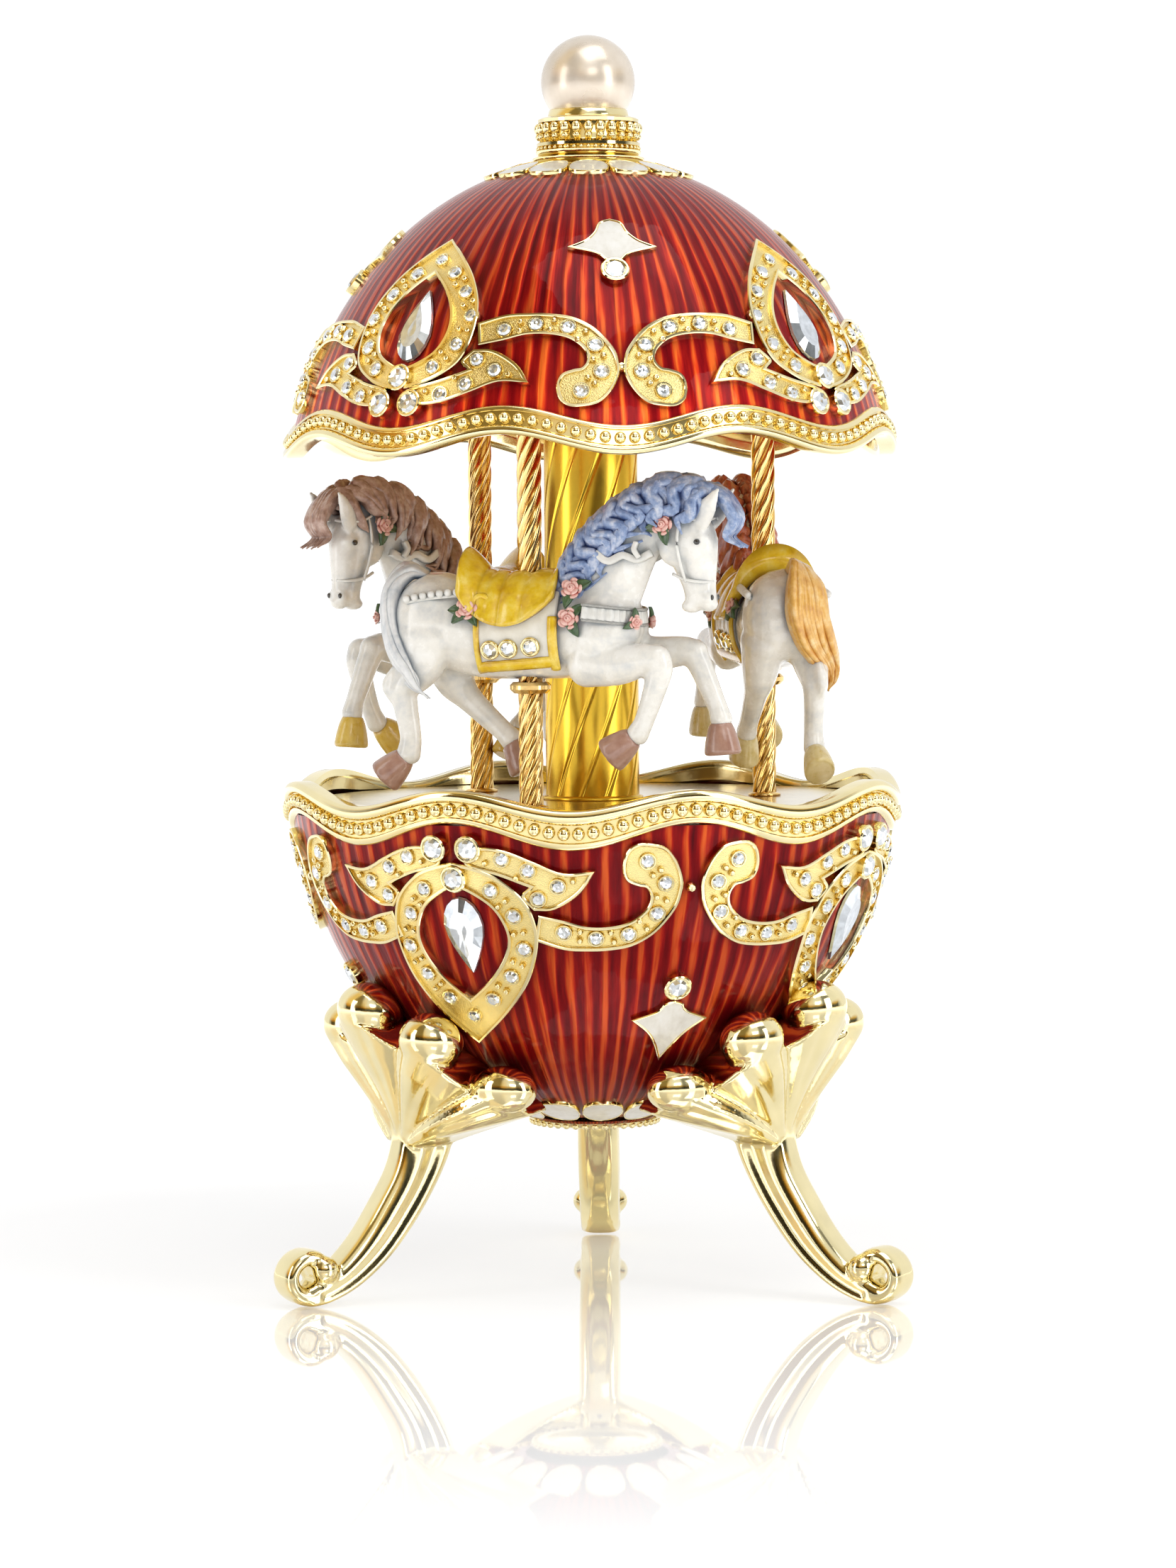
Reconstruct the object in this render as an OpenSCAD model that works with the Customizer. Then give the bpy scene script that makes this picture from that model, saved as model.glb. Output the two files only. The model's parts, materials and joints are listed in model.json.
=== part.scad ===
// Egg-shaped carousel music box on three legs, in millimetres.
// The origin is on the turning axis, at table level; +Z is up and the front is towards -Y.
// The turntable, horses and dome turn together on the winding arbor of the movement.

/* [Egg shells] */
// Radius of both shells where they are widest
shell_r = 39.4; // [39.2:0.05:39.5]
// Wall thickness of both shells
shell_t = 1.2; // [1:0.05:1.3]
// Height of the centre of the cup's ellipse
cup_centre_z = 70.9; // [70.8:0.05:71]
// Half height of the cup's ellipse
cup_half_h = 50.3; // [50.2:0.05:50.4]
// Height of the centre of the dome's ellipse
dome_centre_z = 96.8; // [96.7:0.05:96.9]
// Half height of the dome's ellipse
dome_half_h = 47.5; // [47.4:0.05:47.6]

/* [Rims] */
// Mean height of the cup rim's upper edge
cup_rim_z = 64.2; // [64:0.1:64.4]
// Mean height of the dome rim's lower edge
dome_rim_z = 107.5; // [107.3:0.1:107.7]
// Height of the rims' waves, from mean to crest
wave_h = 1.5; // [1:0.1:1.6]
// Number of waves round each rim
wave_n = 8; // [8]
// Outer radius of the rims
rim_r = 39.6; // [39.5:0.05:39.8]

/* [Legs] */
// Number of legs
leg_n = 3; // [3]
// Direction of the first leg, from the right
leg_turn = 89; // [86:1:89]
// Width of a leg at its shaft
leg_w = 6.2; // [5.6:0.1:6.6]
// Radius of the volute at each foot
volute_r = 3.2; // [3:0.1:3.3]

/* [Carousel] */
// Radius of the circle of poles
pole_circle_r = 22.6; // [22.4:0.1:22.8]
// Direction of the front pole, from the right
first_pole = -109.8; // [-112:0.1:-108]
// Radius of a pole
pole_r = 1.5; // [1.4:0.05:1.6]
// Radius of the central column
column_r = 6; // [5.8:0.1:6.2]
// Top of the turntable
floor_z = 62.4; // [62.3:0.05:62.5]
// Underside of the canopy plate inside the dome
canopy_z = 116; // [115.8:0.1:116.2]
// Radius of the pearl on top
pearl_r = 6; // [5.9:0.05:6.1]

/* [Movement] */
// Height of the tune cylinder's axis
drum_z = 48; // [47.9:0.05:48.1]
// Teeth of the crown wheel on the winding arbor
crown_teeth = 44; // [44]
// Teeth of the pinion on the tune cylinder
pinion_teeth = 11; // [11]
// Teeth of the wheel at the tune cylinder's outer end
drum_teeth = 32; // [32]
// Teeth of the layshaft pinion
lay_teeth = 10; // [10]
// Teeth of the worm wheel
worm_wheel_teeth = 16; // [16]
// Number of notes on the comb
notes = 18; // [16:1:18]

/* [Hidden] */
$fn = 96;

gold = "#E6D28C";
deep_gold = "#C99A2E";
enamel = "#A0151C";
steel = "#A8ABB0";
brass = "#C8A24A";
white = "#F2EFE6";
crystal = "#DCE8F0";

fit = 0.02;          // gap round parts that are fixed in a seat
run = 0.05;          // radial clearance of a running fit
tau = 6.2831853;     // one turn, for sines that are worked in turns

// Egg shells
function ellipse_r(z, centre, half_h, r) = r * sqrt(max(0, 1 - pow((z - centre) / half_h, 2)));
function cup_r(z) = ellipse_r(z, cup_centre_z, cup_half_h, shell_r);
cup_floor_z = 22.4;          // flat underside of the cup, above the bottom cap
cup_top_z = 60;              // joint between the cup and its rim
dome_joint_z = 111.6;        // joint between the dome and its rim
dome_top_z = 143.2;          // flat seat of the finial
shell_steps = 26;
rim_inner_r = 38;

// Seats of the crystals and the enamel stars: direction of the first of four, and height
cup_crystal_at = [-26.5, 45.5];
cup_star_at = [19, 36.4];
dome_crystal_at = [-39, 124];
dome_star_at = [6, 131.8];
crystal_w = 5.4;
crystal_h = 10.2;
star_w = 8.8;
star_h = 7.4;
inlay_t = 0.8;

// Movement levels, from the bottom up
arbor_r = 1.5;
crown_z = 43.2;
housing_z = 46.2;
housing_r = 8.5;
plate_z = 56.5;
plate_t = 1.5;
plate_r = 35.2;
turntable_t = 1.5;
turntable_r = 36.6;
lug_circle_r = 32.8;
leg_screw_r = 22;
leg_screw_top_z = 33;

// Gears: module, widths and places along the drum's axis, outwards from the centre
crown_mod = 0.5;
train_mod = 0.4;
crown_r = crown_mod * crown_teeth / 2;
pinion_r = crown_mod * pinion_teeth / 2;
wheel_r = train_mod * drum_teeth / 2;
lay_pinion_r = train_mod * lay_teeth / 2;
worm_wheel_r = train_mod * worm_wheel_teeth / 2;
worm_r = 1.3;
tooth_share = 0.36;          // tooth thickness over pitch
lay_x = -(wheel_r + lay_pinion_r);
worm_x = lay_x - worm_wheel_r - worm_r;
pinion_span = [crown_r - 1, crown_r + 1];
ear_a_span = [12.6, 13.4];
drum_span = [14, 26.4];
wheel_span = [26.8, 27.8];
ear_b_span = [28.2, 29];
lay_ear_span = [19.4, 20.2];
worm_wheel_span = [22, 23.2];
worm_s = 22.6;
drum_r = 4.2;
pin_h = 0.35;
shaft_r = 0.7;
lay_shaft_r = 0.6;
worm_pivot_r = 0.4;
comb_x = 4.65;
comb_root_x = 11;
comb_end_x = 15.7;
comb_t = 0.8;

// ---------- helpers ----------

// Solid egg half between two heights, as wide as its ellipse less an inset
module egg_solid(z0, z1, centre, half_h, inset) {
    outline = [for (i = [0 : shell_steps])
        let (z = z0 + (z1 - z0) * i / shell_steps)
        [ellipse_r(z, centre, half_h - inset, shell_r - inset), z]];
    rotate_extrude() polygon(concat([[0, z0]], outline, [[0, z1]]));
}

// Puts children on a shell at a height, with local +Z along the outward normal, four times round
module four_on_shell(at, centre, half_h) {
    z = at[1];
    r = ellipse_r(z, centre, half_h, shell_r);
    tilt = atan2((z - centre) / pow(half_h, 2), r / pow(shell_r, 2));
    for (k = [0 : 3])
        rotate([0, 0, -90 + at[0] + 90 * k]) translate([r, 0, z]) rotate([0, 90 - tilt, 0]) children();
}

// Pear-shaped stone: a round with a point; the point is up for positive direction
module pear(grow, point) {
    r = crystal_w / 2 + grow;
    linear_extrude(inlay_t * 2, center = true) {
        circle(r, $fn = 48);
        polygon([[0, r], [0, -r], [-point * (crystal_h - crystal_w / 2 + grow), 0]]);
    }
}

// Four-pointed star plaque with hollow sides
module star(grow) {
    w = star_w / 2 + grow;
    h = star_h / 2 + grow;
    waist = 0.32;
    linear_extrude(inlay_t * 2, center = true)
        polygon([[h, 0], [h * waist, w * waist], [0, w], [-h * waist, w * waist],
                 [-h, 0], [-h * waist, -w * waist], [0, -w], [h * waist, -w * waist]]);
}

// Ring with one flat edge and one edge that rises and falls round it
module wavy_ring(flat_z, wave_z, phase) {
    n = 12 * wave_n;
    function edge(i) = wave_z + wave_h * cos(wave_n * 360 * i / n - wave_n * phase);
    function corner(i, r, z) = [r * cos(360 * i / n), r * sin(360 * i / n), z];
    points = [for (i = [0 : n - 1]) each [
        corner(i, rim_inner_r, flat_z), corner(i, rim_r, flat_z),
        corner(i, rim_r, edge(i)), corner(i, rim_inner_r, edge(i))]];
    up = wave_z > flat_z;
    faces = [for (i = [0 : n - 1]) for (k = [0 : 3])
        let (a = 4 * i + k, b = 4 * i + (k + 1) % 4,
             c = 4 * ((i + 1) % n) + (k + 1) % 4, d = 4 * ((i + 1) % n) + k)
        each up ? [[a, b, c], [a, c, d]] : [[c, b, a], [d, c, a]]];
    polyhedron(points, faces);
}

// Screw with a cheese head, standing on its tip with its axis along +Z
module screw(head_r, head_h, shank_r, shank_h) {
    cylinder(r = shank_r, h = shank_h, $fn = 32);
    translate([0, 0, shank_h]) difference() {
        cylinder(r = head_r, h = head_h, $fn = 32);
        translate([-head_r, -head_r / 8, head_h / 2]) cube([2 * head_r, head_r / 4, head_h]);
    }
}

// Spur gear outline with straight-flanked teeth; the first tooth points along +X
module gear_outline(mod, teeth, add, ded) {
    r = mod * teeth / 2;
    half = 180 * tooth_share / teeth;
    function at(radius, a) = [radius * cos(a), radius * sin(a)];
    polygon([for (i = [0 : teeth - 1]) let (a = 360 * i / teeth) each [
        at(r - ded * mod, a - 1.35 * half), at(r + add * mod, a - 0.55 * half),
        at(r + add * mod, a + 0.55 * half), at(r - ded * mod, a + 1.35 * half)]]);
}

// The drum's frame: local X is across, local Y is up, local Z runs outwards along the drum
module at_drum(x, span) {
    translate([x, 0, drum_z]) rotate([90, 0, 0]) translate([0, 0, span[0]])
        linear_extrude(span[1] - span[0]) children();
}

// Block given by its spans across, along the drum and in height
module block(x, s, z) {
    translate([x[0], -s[1], z[0]]) cube([x[1] - x[0], s[1] - s[0], z[1] - z[0]]);
}

// ---------- cup, cap and legs ----------

module lug_places() {
    for (a = [30, 150, 270]) rotate([0, 0, a]) translate([lug_circle_r, 0, 0]) children();
}

module leg_screw_places() {
    for (k = [0 : leg_n - 1])
        rotate([0, 0, leg_turn + 360 * k / leg_n]) translate([leg_screw_r, 0, 0]) children();
}

module cup_shell() {
    color(enamel) difference() {
        union() {
            difference() {
                egg_solid(cup_floor_z, cup_top_z, cup_centre_z, cup_half_h, 0);
                egg_solid(cup_floor_z + shell_t, cup_top_z + 1, cup_centre_z, cup_half_h, shell_t);
            }
            intersection() {
                union() {
                    lug_places() translate([0, 0, 48]) cylinder(r = 2.6, h = plate_z - 48);
                    leg_screw_places() cylinder(r = 2.6, h = leg_screw_top_z);
                }
                egg_solid(cup_floor_z, cup_top_z, cup_centre_z, cup_half_h, shell_t / 2);
            }
        }
        lug_places() translate([0, 0, 50]) cylinder(r = 1 + fit, h = 8);
        leg_screw_places() cylinder(r = 1 + fit, h = 40);
        cylinder(r = 1.25 + fit, h = 30);
        four_on_shell(cup_crystal_at, cup_centre_z, cup_half_h) pear(fit, 1);
        four_on_shell(cup_star_at, cup_centre_z, cup_half_h) star(fit);
    }
}

module cup_rim() {
    color(gold) wavy_ring(cup_top_z, cup_rim_z, -90 + 18.5);
}

module cup_crystals() {
    color(crystal) four_on_shell(cup_crystal_at, cup_centre_z, cup_half_h) pear(0, 1);
}

module cup_stars() {
    color(white) difference() {
        four_on_shell(cup_star_at, cup_centre_z, cup_half_h) star(0);
        for (k = [0 : leg_n - 1]) rotate([0, 0, leg_turn + 360 * k / leg_n]) {
            leg_blank(leg_w + 0.4);
            leaf(0.2);
        }
    }
}

module bottom_cap() {
    cap_r = 8.3;
    color(gold) rotate_extrude() polygon([[0, 20.8], [7, 20.8], [7.4, 20.6], [cap_r, 20.8],
        [cap_r, 21.9], [7.9, cup_floor_z], [1.25, cup_floor_z], [1.25, 26.4], [0, 26.4]]);
}

module cap_nut() {
    color(steel) translate([0, 0, cup_floor_z + shell_t]) difference() {
        cylinder(r = 2.4, h = 1.6, $fn = 6);
        translate([0, 0, -1]) cylinder(r = 1.25 + fit, h = 4);
    }
}

// Points along a cubic curve
function curve(a, b, c, d, n) = [for (i = [0 : n]) let (t = i / n, u = 1 - t)
    u * u * u * a + 3 * u * u * t * b + 3 * u * t * t * c + t * t * t * d];

// Side outline of a leg: under edge from cup to foot, then the upper edge back to the leaf
volute_at = [41.9, volute_r - 0.15];
leaf_tip_r = 3.1;
leaf_top_z = 36.2;
module leg_outline() {
    seat = [for (i = [0 : 6]) let (z = leaf_top_z - (leaf_top_z - 27.2) * i / 6) [cup_r(z) + fit, z]];
    under = curve([seat[6][0], 26], [21.2, 14], [31, 1.2], [volute_at[0], 0], 14);
    upper = curve([39, 5.4], [34.5, 9.5], [29.4, 16], [29.2, 22.4], 10);
    polygon(concat(seat, under, [[volute_at[0], 2.5]], upper, [[31.4, 27.2], [35, 32.4], [35.6, leaf_top_z]]));
}

module leg_blank(width) {
    rotate([90, 0, 0]) linear_extrude(width, center = true) leg_outline();
}

// A lobe of the leaf: a cone from the neck to a round tip that lies against the cup
module lobe(turn, tip_z, tip_r, grow) {
    neck = [26.4, 0, 21.6];
    reach = cup_r(tip_z) + tip_r + 0.35;
    tip = [reach * cos(turn), reach * sin(turn), tip_z - 1.6];
    along = tip - neck;
    translate(neck) rotate([0, acos(along[2] / norm(along)), atan2(along[1], along[0])])
        cylinder(r1 = 1.7 + grow, r2 = tip_r * 0.86 + grow, h = norm(along), $fn = 40);
    translate(tip) sphere(tip_r + grow, $fn = 40);
}

// The five lobes of a leg's leaf; grow leaves a gap round them
module leaf(grow) {
    for (side = [-1, 1]) {
        lobe(side * 20, 34.6, 2.8, grow);
        lobe(side * 37, 28.2, 2.5, grow);
    }
    translate([cup_r(leaf_top_z) + leaf_tip_r + 0.3, 0, leaf_top_z - 0.6])
        sphere(leaf_tip_r + grow, $fn = 40);
}

module leg(turn) {
    color(gold) rotate([0, 0, turn]) difference() {
        union() {
            leg_blank(leg_w);
            translate([volute_at[0], 0, volute_at[1]]) rotate([90, 0, 0])
                cylinder(r = volute_r, h = leg_w - 0.8, center = true);
            for (side = [-1, 1])
                translate([volute_at[0], side * 2.4, volute_at[1] + 0.4]) sphere(1.9, $fn = 40);
            leaf(0);
        }
        translate([leg_screw_r, 0, 21]) cylinder(r = 1 + fit, h = 20);
        translate([0, -20, -20]) cube([60, 40, 20]);
    }
}

module leg_rear() leg(leg_turn);
module leg_left() leg(leg_turn + 120);
module leg_right() leg(leg_turn + 240);

module leg_screws() {
    color(steel) leg_screw_places() translate([0, 0, 21.4]) screw(1.8, 1.3, 1, leg_screw_top_z - 21.4);
}

// ---------- movement fixed in the cup ----------

module housing_screw_places() {
    for (a = [90, 210, 330]) rotate([0, 0, a]) translate([10, 0, 0]) children();
}

bracket_screw_at = [[0, -17], [0, -24], [-15.4, -19.8]];
module bracket_screw_places() {
    for (p = bracket_screw_at) translate(p) children();
}

module bedplate() {
    color(brass) translate([0, 0, plate_z]) difference() {
        cylinder(r = plate_r, h = plate_t);
        translate([0, 0, -1]) {
            cylinder(r = 3 + fit, h = 4);
            lug_places() cylinder(r = 1 + fit, h = 4);
            housing_screw_places() cylinder(r = 0.6 + fit, h = 4);
            bracket_screw_places() cylinder(r = 0.6 + fit, h = 4);
            translate([worm_x, -worm_s, 0]) cylinder(r = worm_pivot_r + run, h = 4);
        }
    }
}

module bedplate_screws() {
    color(steel) lug_places() translate([0, 0, 50.4]) screw(1.9, 1.3, 1, plate_z + plate_t - 50.4);
}

module arbor_bush() {
    top_z = plate_z + plate_t;
    color(deep_gold) rotate_extrude() polygon([[arbor_r + run, plate_z + 0.1], [3, plate_z + 0.1],
        [3, top_z], [4.2, top_z], [4.2, top_z + 0.5], [arbor_r + run, top_z + 0.5]]);
}

module spring_housing() {
    wall = 1;
    color(brass) difference() {
        union() {
            translate([0, 0, housing_z]) cylinder(r = housing_r, h = plate_z - housing_z);
            translate([0, 0, plate_z - 1.2]) cylinder(r = 11.8, h = 1.2);
        }
        translate([0, 0, housing_z + wall]) cylinder(r = housing_r - wall, h = plate_z);
        cylinder(r = arbor_r + run, h = 60);
        translate([0, 0, plate_z - 2]) housing_screw_places() cylinder(r = 0.6 + fit, h = 4);
    }
}

module housing_screws() {
    color(steel) housing_screw_places() translate([0, 0, plate_z + plate_t]) mirror([0, 0, 1])
        screw(1.1, 0.9, 0.6, plate_t + 1.2);
}

module mainspring() {
    inner_r = 2.5;
    outer_r = 7.3;
    turns = 7;
    strip_t = 0.25;
    steps = 18 * turns;
    function edge(i, t) = let (r = inner_r + (outer_r - inner_r) * i / steps + t)
        [r * cos(360 * turns * i / steps), r * sin(360 * turns * i / steps)];
    color("#4A4E57") translate([0, 0, housing_z + 1.4]) linear_extrude(8)
        polygon(concat([for (i = [0 : steps]) edge(i, 0)],
                       [for (i = [steps : -1 : 0]) edge(i, -strip_t)]));
}

module drum_bracket() {
    color(steel) difference() {
        union() {
            block([-3, 3], [ear_a_span[0], ear_b_span[1]], [plate_z - 1.2, plate_z]);
            block([-2.5, 2.5], ear_a_span, [drum_z - 1.8, plate_z]);
            block([lay_x - 2, 2.5], ear_b_span, [drum_z - 1.8, plate_z]);
        }
        at_drum(0, [12, 30]) circle(shaft_r + run);
        at_drum(lay_x, [27, 30]) circle(lay_shaft_r + run);
        translate([0, 0, plate_z - 3]) bracket_screw_places() cylinder(r = 0.6 + fit, h = 6);
    }
}

governor_post_x = -18.4;
module governor_bracket() {
    arm_z = 43.4;
    color(steel) difference() {
        union() {
            block([governor_post_x, lay_x + 2], [18.8, 20.2], [plate_z - 1.2, plate_z]);
            block([lay_x - 2, lay_x + 2], lay_ear_span, [drum_z - 1.8, plate_z]);
            block([governor_post_x, governor_post_x + 1.2], [18.8, worm_s + 1], [arm_z, plate_z]);
            block([governor_post_x, worm_x + 1], [worm_s - 1, worm_s + 1], [arm_z, arm_z + 1]);
        }
        at_drum(lay_x, [18, 21]) circle(lay_shaft_r + run);
        translate([worm_x, -worm_s, arm_z - 1]) cylinder(r = worm_pivot_r + run, h = 4);
        translate([0, 0, plate_z - 3]) bracket_screw_places() cylinder(r = 0.6 + fit, h = 6);
    }
}

module bracket_screws() {
    color(steel) bracket_screw_places() translate([0, 0, plate_z + plate_t]) mirror([0, 0, 1])
        screw(1, 0.7, 0.6, plate_t + 1.2);
}

comb_span = [13.9, 26.5];
module comb_screw_places() {
    for (s = [16.5, 24]) translate([13.5, -s, 0]) children();
}

module comb_base() {
    color(brass) difference() {
        block([comb_root_x, comb_end_x], comb_span, [drum_z + comb_t / 2, plate_z]);
        comb_screw_places() translate([0, 0, drum_z]) cylinder(r = 0.7 + fit, h = 4.4);
    }
}

module comb() {
    pitch = (comb_span[1] - comb_span[0]) / notes;
    slot_w = 0.18;
    color(steel) difference() {
        block([comb_x, comb_end_x], comb_span, [drum_z - comb_t / 2, drum_z + comb_t / 2]);
        for (i = [1 : notes - 1])
            translate([comb_x - 1, -comb_span[0] - i * pitch - slot_w / 2, drum_z - 1])
                cube([comb_root_x - comb_x - 2.4 + 2.4 * i / notes, slot_w, 2]);
        comb_screw_places() translate([0, 0, drum_z - 2]) cylinder(r = 0.7 + fit, h = 6);
    }
}

module comb_screws() {
    color(steel) comb_screw_places() translate([0, 0, drum_z + 4]) mirror([0, 0, 1])
        screw(1.3, 0.9, 0.7, 4 + comb_t / 2);
}

// ---------- gear train ----------

// The tune cylinder's pins: each note plays three times a turn, at angles that wander
function pin_angle(note, beat) = (note * 137.5 + beat * 113 + 40) % 360;

module tune_cylinder() {
    pitch = (comb_span[1] - comb_span[0]) / notes;
    color(deep_gold) difference() {
        union() {
            at_drum(0, drum_span) circle(drum_r);
            for (note = [0 : notes - 1]) for (beat = [0 : 2])
                translate([0, -comb_span[0] - (note + 0.5) * pitch, drum_z])
                    rotate([0, pin_angle(note, beat), 0])
                        cylinder(r = 0.15, h = drum_r + pin_h, $fn = 16);
        }
        at_drum(0, [13, 28]) circle(shaft_r + fit);
    }
}

module drum_pinion() {
    color(brass) at_drum(0, pinion_span) difference() {
        rotate(-90) gear_outline(crown_mod, pinion_teeth, 0.75, 1.1);
        circle(shaft_r + fit);
    }
}

module drum_wheel() {
    color(brass) at_drum(0, wheel_span) difference() {
        gear_outline(train_mod, drum_teeth, 0.75, 1.1);
        circle(shaft_r + fit);
    }
}

module drum_arbor() {
    color(steel) at_drum(0, [9.4, 29.6]) circle(shaft_r);
}

module layshaft() {
    color(steel) at_drum(lay_x, [19, 29.6]) circle(lay_shaft_r);
}

module lay_pinion() {
    color(brass) at_drum(lay_x, [wheel_span[0] - 0.1, wheel_span[1] + 0.1]) difference() {
        rotate(180 / lay_teeth) gear_outline(train_mod, lay_teeth, 0.75, 1.1);
        circle(lay_shaft_r + fit);
    }
}

module worm_wheel() {
    color(white) at_drum(lay_x, worm_wheel_span) difference() {
        rotate(180 / worm_wheel_teeth) gear_outline(train_mod, worm_wheel_teeth, 0.75, 1.1);
        circle(lay_shaft_r + fit);
    }
}

// Single-start right-hand worm: its section is a round core with one blunt lobe
module governor_worm() {
    core_r = 0.8;
    tip_r = worm_r + 0.3;
    lead = train_mod * tau / 2;
    turns = 4;
    function lobe_r(a) = core_r + (tip_r - core_r) * min(1, max(0, (95 - abs(a)) / 60));
    color(steel) translate([worm_x, -worm_s, 0]) {
        translate([0, 0, drum_z - turns * lead / 2]) rotate(-180 * turns)
            linear_extrude(turns * lead, twist = -360 * turns, slices = 18 * turns, $fn = 15)
                polygon([for (a = [-180 : 24 : 179]) lobe_r(a) * [cos(a), sin(a)]]);
        translate([0, 0, 44.5]) cylinder(r = core_r - 0.1, h = 11.9, $fn = 32);
        translate([0, 0, 43.3]) cylinder(r = worm_pivot_r, h = plate_z + 1.2 - 43.3, $fn = 32);
    }
}

module governor_fan() {
    color(brass) translate([worm_x, -worm_s, 52]) difference() {
        union() {
            cylinder(r = 1.2, h = 2.6);
            translate([-2.9, -0.15, 0]) cube([5.8, 0.3, 2.6]);
        }
        translate([0, 0, -1]) cylinder(r = 0.7 + fit, h = 5);
    }
}

// ---------- turning parts on the winding arbor ----------

module winding_arbor() {
    color(steel) {
        translate([0, 0, 41]) cylinder(r = arbor_r, h = 20);
        translate([0, 0, 40.2]) cylinder(r = 2.4, h = 0.8);
        translate([0, 0, housing_z + 1.2]) cylinder(r = 2.2 - run, h = 8.4);
    }
}

module crown_wheel() {
    root_z = drum_z - pinion_r - 1.1 * crown_mod;
    tip_h = 1.85 * crown_mod;
    pitch = tau * crown_r / crown_teeth;
    tooth = tooth_share * pitch;
    color(brass) {
        difference() {
            translate([0, 0, crown_z]) cylinder(r = pinion_span[1], h = root_z - crown_z);
            translate([0, 0, crown_z - 1]) cylinder(r = arbor_r + fit, h = 5);
            translate([7, 0, crown_z - 1]) cylinder(r = 0.5 + fit, h = 5);
            for (a = [60 : 60 : 300]) rotate(a) translate([6.4, 0, crown_z - 1]) cylinder(r = 1.9, h = 5);
        }
        for (i = [0 : crown_teeth - 1]) rotate(-90 + (i + 0.5) * 360 / crown_teeth)
            translate([pinion_span[0], 0, root_z - 0.05]) rotate([90, 0, 90])
                linear_extrude(pinion_span[1] - pinion_span[0] - 0.1)
                    polygon([[-0.7 * tooth, 0], [0.7 * tooth, 0],
                             [0.3 * tooth, tip_h + 0.05], [-0.3 * tooth, tip_h + 0.05]]);
    }
}

ratchet_teeth = 12;
module ratchet_wheel() {
    tip_r = 4.2;
    root_r = 3.5;
    color(steel) translate([0, 0, 41.1]) linear_extrude(2) difference() {
        polygon([for (i = [0 : ratchet_teeth - 1]) let (a = 360 * i / ratchet_teeth) each [
            [tip_r * cos(a), tip_r * sin(a)], [root_r * cos(a), root_r * sin(a)]]]);
        circle(arbor_r + fit);
    }
}

module click() {
    color(deep_gold) {
        translate([7, 0, 41.2]) cylinder(r = 1, h = 1.9);
        translate([7, 0, 41.2]) cylinder(r = 0.5, h = 3.2);
        translate([0, 0, 41.6]) linear_extrude(1)
            polygon([[6.5, 0.9], [4.4, 3.4], [3.3, 2.75], [3.6, 2.5], [4.3, 2.7], [6.1, -0.2]]);
    }
}

module pole_places() {
    for (k = [0 : 2]) rotate([0, 0, first_pole + 120 * k]) translate([pole_circle_r, 0, 0]) children();
}

peg_r = 1;
module turntable() {
    boss_z = plate_z + plate_t + 0.6;
    color("#E9DDC4") difference() {
        union() {
            translate([0, 0, floor_z - turntable_t]) cylinder(r = turntable_r, h = turntable_t);
            translate([0, 0, boss_z]) cylinder(r = 4.2, h = floor_z - boss_z);
        }
        translate([0, 0, 50]) cylinder(r = arbor_r + fit, h = 20);
        pole_places() translate([0, 0, floor_z - 3]) cylinder(r = peg_r + fit, h = 6);
    }
}

module column() {
    color(brass) translate([0, 0, floor_z]) difference() {
        cylinder(r = column_r, h = canopy_z - floor_z);
        translate([0, 0, -1]) cylinder(r = 2.6, h = 80);
    }
}

module tie_rod() {
    color(steel) translate([0, 0, 61.1]) cylinder(r = arbor_r, h = 151.6 - 61.1);
}

module pole(k) {
    color(gold) rotate([0, 0, first_pole + 120 * k]) translate([pole_circle_r, 0, 0]) {
        translate([0, 0, floor_z]) cylinder(r = pole_r, h = canopy_z - floor_z);
        translate([0, 0, floor_z - turntable_t]) cylinder(r = peg_r, h = canopy_z + 4 - floor_z);
    }
}

module pole_front() pole(0);
module pole_right() pole(1);
module pole_rear() pole(2);

belly_z = 78.2;
module pole_collars() {
    color(gold) pole_places() translate([0, 0, belly_z - 1.4]) rotate_extrude()
        polygon([[pole_r + fit, 0], [2.1, 0], [2.6, 0.5], [2.6, 1], [2.2, 1.4], [pole_r + fit, 1.4]]);
}

module pole_nuts() {
    color(steel) pole_places() translate([0, 0, canopy_z + 1.2]) difference() {
        cylinder(r = 2.2, h = 1.2, $fn = 6);
        translate([0, 0, -1]) cylinder(r = peg_r + fit, h = 4);
    }
}

// Rounded limb through a list of [forward, left, height, radius] stations
module limb(stations) {
    for (i = [0 : len(stations) - 2]) hull() for (s = [stations[i], stations[i + 1]])
        translate([s[0], s[1], s[2]]) sphere(s[3], $fn = 12);
}

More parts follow.
